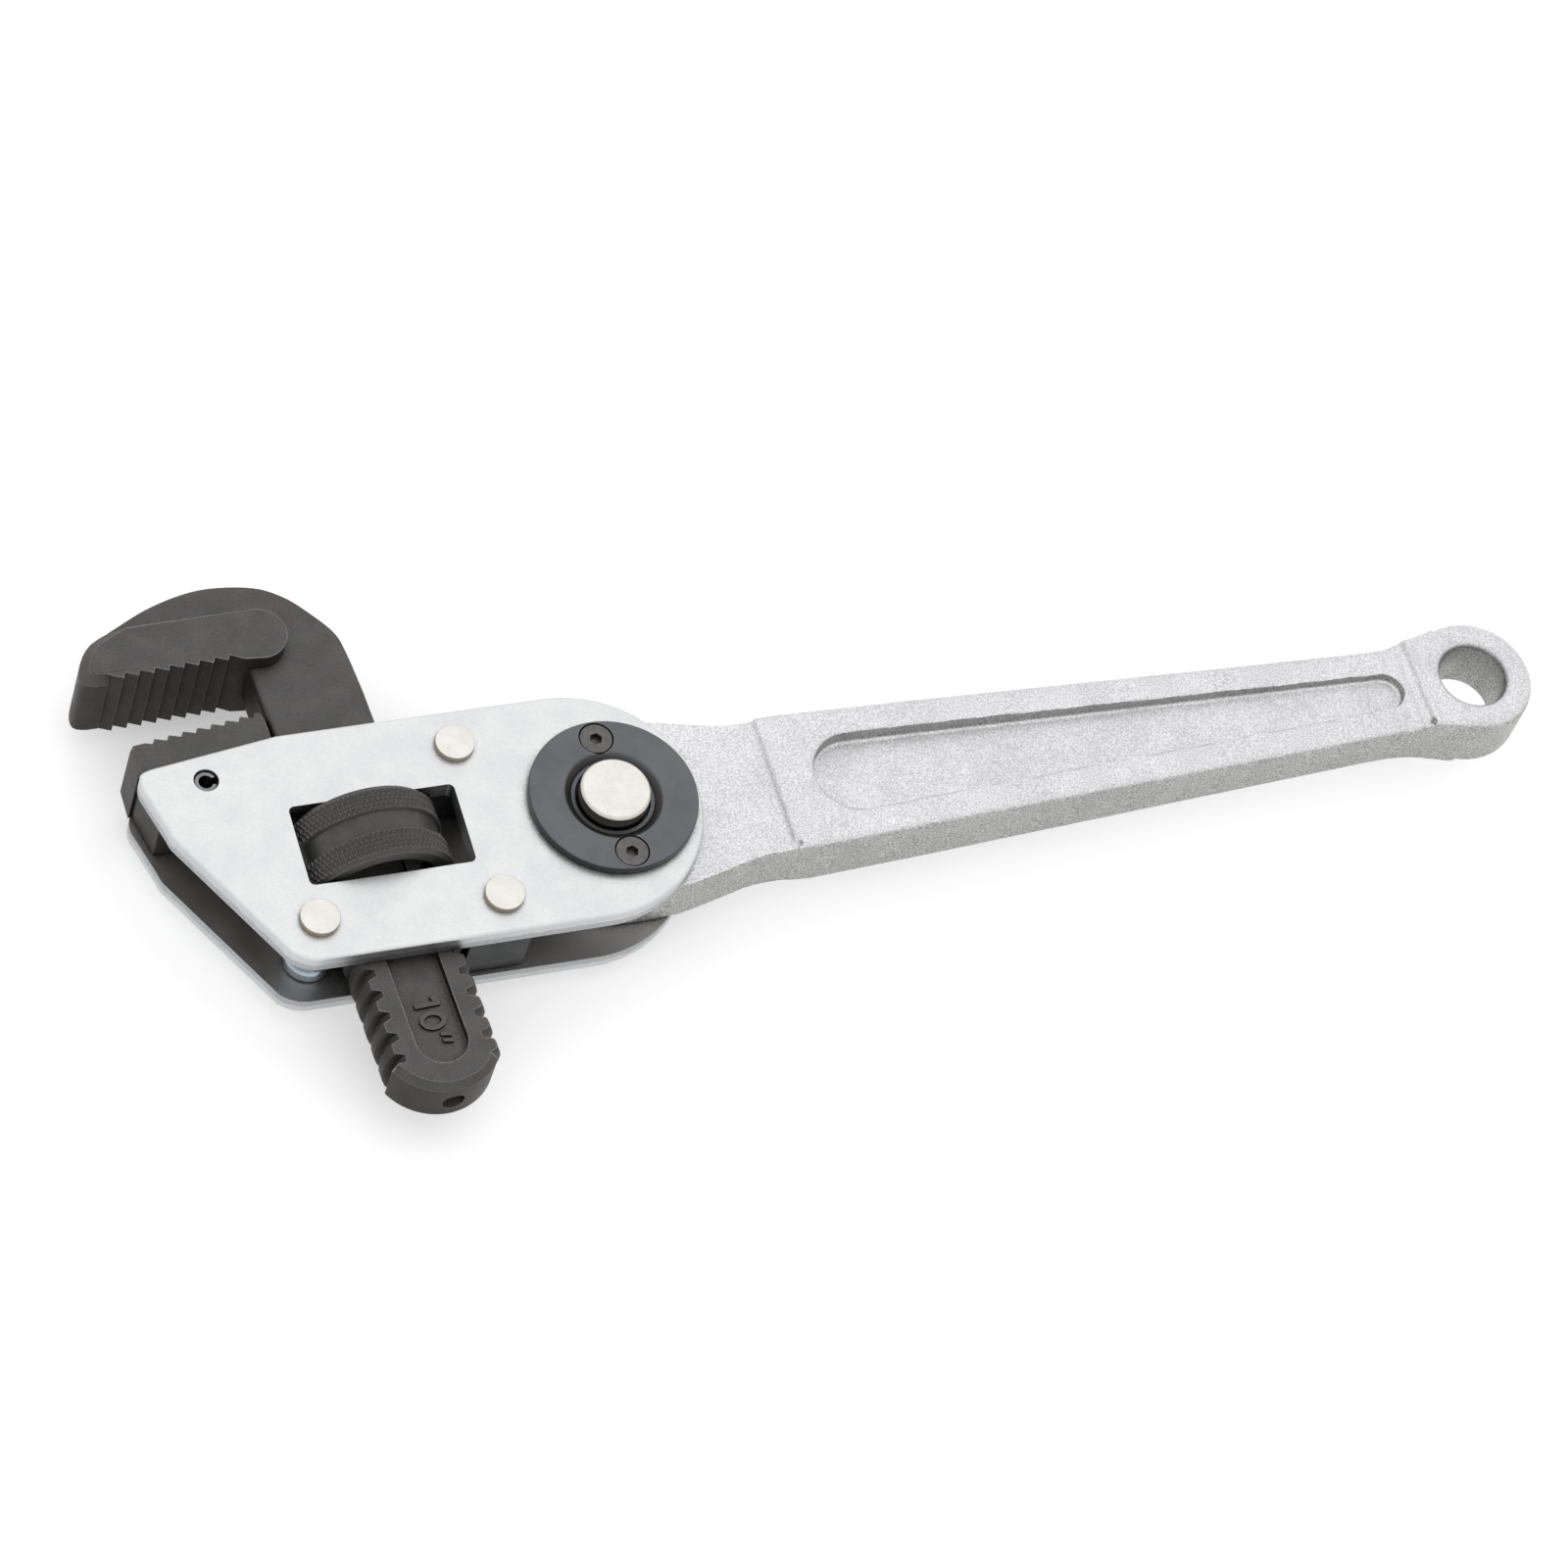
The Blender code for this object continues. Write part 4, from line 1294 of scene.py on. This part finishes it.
    def button(self) -> None:
        """Push button: a turned cap with a bevelled, faintly hollowed top."""
        low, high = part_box("lock_button")
        radius = (high.x - low.x) / 2
        bevel = 0.45 * MM
        profile = [(0, low.z), (radius - 0.2 * MM, low.z), (radius, low.z + 0.2 * MM),
                   (radius, high.z - bevel - 0.15 * MM),
                   (radius - 0.08 * MM, high.z - bevel), (radius - bevel, high.z - 0.1 * MM),
                   (radius - bevel - 0.18 * MM, high.z), (radius * 0.55, high.z - 0.03 * MM),
                   (0, high.z - 0.05 * MM)]
        piece = Bench.turned("lock_button_detailed", profile, 128)
        Bench.shade(piece, 40)
        self.fit(piece, SATIN_NICKEL, "lock_button", "satin_nickel", "lock_button")

    def spring(self) -> None:
        """Coil spring behind the button."""
        low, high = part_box("lock_spring")
        reach = (high.x - low.x) / 2 - self.wire
        rise = high.z - low.z - 2 * self.wire
        steps = self.spring_turns * 24
        rings = []
        for i in range(steps + 1):
            angle = math.tau * i / 24
            height = low.z + self.wire + rise * i / steps
            section = arc((reach, height), self.wire, 0, 330, 11)
            rings.append([(x * math.cos(angle), x * math.sin(angle), z) for x, z in section])
        piece = Bench.loft("lock_spring_detailed", rings)
        Bench.shade(piece, 40)
        self.fit(piece, SPRING_STEEL, "frame", "spring_steel", "lock_spring")
        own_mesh(piece)

    def build(self) -> None:
        """Make the visible pieces and dress the hidden ones."""
        self.ring()
        self.cover()
        for node in ("front_screw_upper", "front_screw_lower"):
            self.screw(node, Side.FRONT)
        for node in ("rear_screw_upper", "rear_screw_lower"):
            self.screw(node, Side.REAR)
        self.button()
        self.dress_node("lock_gear", BLACK_OXIDE)
        self.spring()
        self.dress_node("handle_bush", BLACK_OXIDE)


# ---------------------------------------------------------------- handle
@dataclass
class Handle(SubAssembly):
    """Cast handle: tongue, step, tapered grip with a pocket in each face, neck and eye."""

    mid: float = MIDDLE
    half_core: float = HALF_CORE
    tongue: float = 17.0 * MM
    neck: float = 13.4 * MM             # half width of the tongue where the grip starts
    bore: float = 11.6 * MM
    pocket: tuple[float, float, float, float] = (46.4 * MM, 7.8 * MM, 149.9 * MM, 3.6 * MM)
    pocket_floor: float = 3.1 * MM
    pocket_fillet: float = 0.5 * MM
    eye: Point = (167.35 * MM, 0.0)
    eye_radius: float = 11.35 * MM
    eye_hole: float = 6.2 * MM
    eye_half: float = 6.5 * MM
    eye_rim: float = 2.0 * MM           # rounding of the eye's outer edges
    eye_lip: float = 1.5 * MM           # rounding of its hole's mouths
    pits: tuple[Point, ...] = ((31.6 * MM, -12.5 * MM), (156.3 * MM, -8.2 * MM))
    pit_radius: float = 0.65 * MM
    pit_height: float = 5.9 * MM        # height of the pits above the middle
    slopes: tuple[tuple[float, ...], ...] = (
        (28.0 * MM, 36.0 * MM, 5.05 * MM, 6.2 * MM), (150.0 * MM, 162.0 * MM, 4.95 * MM, 6.5 * MM))
    turn: float = math.radians(0.5)     # play of the lock
    voxel: float = 0.34 * MM            # fineness of the casting's skin
    softening: int = 3

    def stations(self) -> list[tuple[float, float, float, float]]:
        """Place along the handle, half width, half thickness and corner radius.

        Returns:
            One entry for each station, from the pivot outwards.
        """
        millimetres = (
            (24.0, 13.0, 5.05, 0.9), (29.0, 13.2, 5.05, 0.9), (30.3, 13.4, 5.10, 0.9),
            (31.3, 13.6, 6.10, 0.9), (32.0, 13.7, 6.22, 1.0), (36.0, 13.75, 6.20, 1.2),
            (45.0, 13.39, 6.15, 1.2), (60.0, 12.75, 6.12, 1.2), (95.0, 11.27, 5.60, 1.2),
            (130.0, 9.80, 5.10, 1.2), (145.0, 9.15, 4.97, 1.2), (150.0, 9.0, 4.95, 1.2),
            (153.6, 9.05, 5.00, 1.2), (154.9, 9.14, 5.80, 1.1), (155.6, 9.21, 5.65, 1.1),
            (156.4, 9.33, 6.50, 1.1), (157.0, 9.43, 6.80, 1.1), (157.9, 9.63, 6.55, 1.2),
            (160.0, 10.05, 6.5, 1.2), (163.0, 10.75, 6.5, 1.2))
        return [tuple(value * MM for value in row) for row in millimetres]

    def rear_depth(self, x: float, deep: float) -> float:
        """Half thickness towards the rear, where the steps run out in long slopes.

        Args:
            x: Place along the handle.
            deep: Half thickness towards the front.

        Returns:
            Half thickness towards the rear.
        """
        for start, end, low, high in self.slopes:
            if start < x < end:
                return low + (high - low) * (x - start) / (end - start)
        return deep

    def section(self, x: float, wide: float, deep: float,
                radius: float) -> list[tuple[float, float, float]]:
        """Ring of points across the handle.

        Args:
            x: Place along the handle.
            wide: Half width.
            deep: Half thickness.
            radius: Radius of the corners.

        Returns:
            Its places, in order.
        """
        ring = []
        for sy, sz, start in ((1, 1, 0), (-1, 1, 90), (-1, -1, 180), (1, -1, 270)):
            reach = deep if sz > 0 else self.rear_depth(x, deep)
            centre = (sy * (wide - radius), self.mid + sz * (reach - radius))
            ring += [(x, y, z) for y, z in arc(centre, radius, start, start + 90, 6)]
        return ring

    def grip(self) -> bpy.types.Object:
        """Grip and neck.

        Returns:
            The new piece.
        """
        stations = self.stations()
        columns = [curve([(row[0], row[i]) for row in stations], 3) for i in (1, 2, 3)]
        rings = [self.section(a[0], a[1], b[1], c[1]) for a, b, c in zip(*columns)]
        return Bench.loft("handle_detailed", rings)

    def tongue_outline(self) -> list[Point]:
        """Round end about the pivot, narrowing to the grip.

        Returns:
            Its corners, in order.
        """
        left = arc((0, 0), self.tongue, 90, 270, 60)
        side = curve([left[-1], (9.0 * MM, -16.9 * MM), (15.0 * MM, -15.8 * MM),
                      (20.0 * MM, -14.6 * MM), (24.0 * MM, -13.7 * MM), (28.0 * MM, -self.neck),
                      (30.8 * MM, -self.neck)], 6)[1:]
        return left + side + [(x, -y) for x, y in reversed(side)]

    def flare(self) -> list[Point]:
        """Rounded mouth of the eye's hole on the front, from the outside in.

        Returns:
            Its corners, as radius and height.
        """
        lip = self.eye_lip
        top = self.mid + self.eye_half
        return [(self.eye_hole + lip - lip * math.sin(a), top - lip + lip * math.cos(a) + 0.01 * MM)
                for a in (math.radians(15 * i) for i in range(7))]

    def eye_disc(self) -> bpy.types.Object:
        """Solid disc of the eye with rounded edges.

        Returns:
            The new piece.
        """
        low, high = self.mid - self.eye_half, self.mid + self.eye_half
        rim = self.eye_rim
        inner = self.eye_radius - rim
        disc = Bench.turned("eye_tool", [
            (0, low), (inner, low), *arc((inner, low + rim), rim, -90, 0, 6),
            *arc((inner, high - rim), rim, 0, 90, 6), (0, high)], 96)
        Bench.place(disc, (*self.eye, 0))
        return disc

    def eye_cutter(self) -> bpy.types.Object:
        """Hole of the eye with its two rounded mouths.

        Returns:
            The new piece.
        """
        mouth = self.flare()
        wide = self.eye_hole + 3 * self.eye_lip
        low, high = self.mid - 12 * MM, self.mid + 12 * MM
        cutter = Bench.turned("eye_hole_tool", [
            (0, low), (wide, low), (wide, 2 * self.mid - mouth[0][1]),
            *((r, 2 * self.mid - z) for r, z in mouth), *reversed(mouth), (wide, mouth[0][1]),
            (wide, high), (0, high)], 96)
        Bench.place(cutter, (*self.eye, 0))
        return cutter

    def sink_pocket(self, handle: bpy.types.Object, side: Side) -> None:
        """Cut the long pocket of one face.

        Args:
            handle: Handle to cut.
            side: Face that the pocket is in.
        """
        x0, r0, x1, r1 = self.pocket
        lean = math.degrees(math.asin((r0 - r1) / (x1 - x0)))
        outline = (arc((x1, 0), r1, lean - 90, 90 - lean, 20)
                   + arc((x0, 0), r0, 90 - lean, 270 + lean, 40))
        floor = self.mid + side.value * self.pocket_floor
        low, high = sorted((floor, self.mid + side.value * 9 * MM))
        tool = Bench.prism("pocket_tool", outline, low, high)
        Bench.ease_some(tool, level_edge(floor), self.pocket_fillet, 3)
        Bench.combine(handle, tool)

    def build(self) -> None:
        """Cast the handle: join its masses, sink the pockets, and soften the skin."""
        handle = self.grip()
        tongue = Bench.prism("tongue_tool", self.tongue_outline(), self.mid - self.half_core,
                             self.mid + self.half_core)
        Bench.combine(handle, tongue, "UNION")
        Bench.combine(handle, self.eye_disc(), "UNION")
        for side in Side:
            self.sink_pocket(handle, side)
            for x, y in self.pits:
                Bench.clear()
                bpy.ops.mesh.primitive_uv_sphere_add(segments=16, ring_count=8,
                                                     radius=self.pit_radius)
                pit = bpy.context.object
                Bench.place(pit, (x, y, self.mid + side.value * self.pit_height))
                Bench.combine(handle, pit)
        Bench.combine(handle, self.eye_cutter())
        Bench.modify(handle, "REMESH", mode="VOXEL", voxel_size=self.voxel)
        Bench.modify(handle, "SMOOTH", factor=0.5, iterations=self.softening)
        bore = Bench.prism("bore_tool", arc((0, 0), self.bore, 0, 360, 96)[:-1], 0, 22 * MM)
        Bench.combine(handle, bore)
        Bench.place(handle, (0, 0, 0), self.turn)
        Bench.outward(handle)
        Bench.shade(handle, 40, weighted=False)
        self.fit(handle, CAST_ALUMINIUM, "handle", "cast_aluminium", "handle")


# ---------------------------------------------------------------- stage
@dataclass
class Studio:
    """Pale floor, soft light and the camera."""

    target: tuple[float, float, float] = (34.83 * MM, 3.09 * MM, MIDDLE)
    distance: float = 1.11867
    heading: float = math.radians(35.90)
    elevation: float = math.radians(55.73)
    roll: float = math.radians(22.54)
    lens: float = 145.84
    floor_size: float = 6.0
    world_light: float = 1.0
    table_light: float = 0.27           # the table is lit from below

    def camera(self) -> None:
        """Camera on its heading and elevation, rolled about its line of sight."""
        level = math.cos(self.elevation)
        forward = Vector((level * math.sin(self.heading), level * math.cos(self.heading),
                          -math.sin(self.elevation)))
        flat = forward.cross(Vector((0, 0, 1))).normalized()
        right = flat * math.cos(self.roll) + flat.cross(forward) * math.sin(self.roll)
        up = right.cross(forward)
        data = bpy.data.cameras.new("camera")
        data.lens = self.lens
        data.sensor_width = 36
        camera = bpy.data.objects.new("camera", data)
        turn = Matrix((right, up, -forward)).transposed().to_4x4()
        camera.matrix_world = Matrix.Translation(Vector(self.target) - forward * self.distance) @ turn
        bpy.context.scene.collection.objects.link(camera)
        bpy.context.scene.camera = camera

    def floor(self) -> None:
        """Plain pale floor just under the lowest point."""
        lowest = min(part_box(name)[0].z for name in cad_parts)
        Bench.clear()
        bpy.ops.mesh.primitive_plane_add(size=self.floor_size, location=(0, 0, lowest - 0.1 * MM))
        floor = bpy.context.object
        floor.name = "floor"
        material = bpy.data.materials.new("matt white paper")
        material.use_nodes = True
        shader = material.node_tree.nodes["Principled BSDF"]
        shader.inputs["Base Color"].default_value = (0.92, 0.92, 0.92, 1.0)
        shader.inputs["Roughness"].default_value = 0.9
        shader.inputs["Emission Color"].default_value = (1.0, 1.0, 1.0, 1.0)
        shader.inputs["Emission Strength"].default_value = self.table_light
        floor.data.materials.append(material)

    def light(self, name: str, place: Sequence[float], size: float, watts: float) -> None:
        """Square soft light aimed at the wrench.

        Args:
            name: Name of the light.
            place: Where it stands.
            size: Length of its side.
            watts: Its power.
        """
        data = bpy.data.lights.new(name, "AREA")
        data.size = size
        data.energy = watts
        lamp = bpy.data.objects.new(name, data)
        lamp.location = place
        lamp.rotation_euler = (Vector(self.target) - lamp.location).to_track_quat("-Z", "Y").to_euler()
        bpy.context.scene.collection.objects.link(lamp)

    def build(self) -> None:
        """Set the stage."""
        self.camera()
        self.floor()
        self.light("overhead light", (0.30, 0.60, 1.6), 1.2, 1)
        world = bpy.data.worlds.new("studio")
        world.use_nodes = True
        world.node_tree.nodes["Background"].inputs["Color"].default_value = (1, 1, 1, 1)
        world.node_tree.nodes["Background"].inputs["Strength"].default_value = self.world_light
        bpy.context.scene.world = world
        bpy.context.scene.view_settings.view_transform = "Standard"


def main() -> None:
    """Build every sub-assembly."""
    logging.basicConfig(level=logging.INFO, format="%(message)s")
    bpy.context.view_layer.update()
    finishes = Finishes()
    Studio().build()
    for group in (SidePlates, FrameFasteners, HeelJaw, HookJaw, AdjustingNut, LockSet, Handle):
        group(finishes).build()
    Bench.clear()


if __name__ == "__main__":
    main()
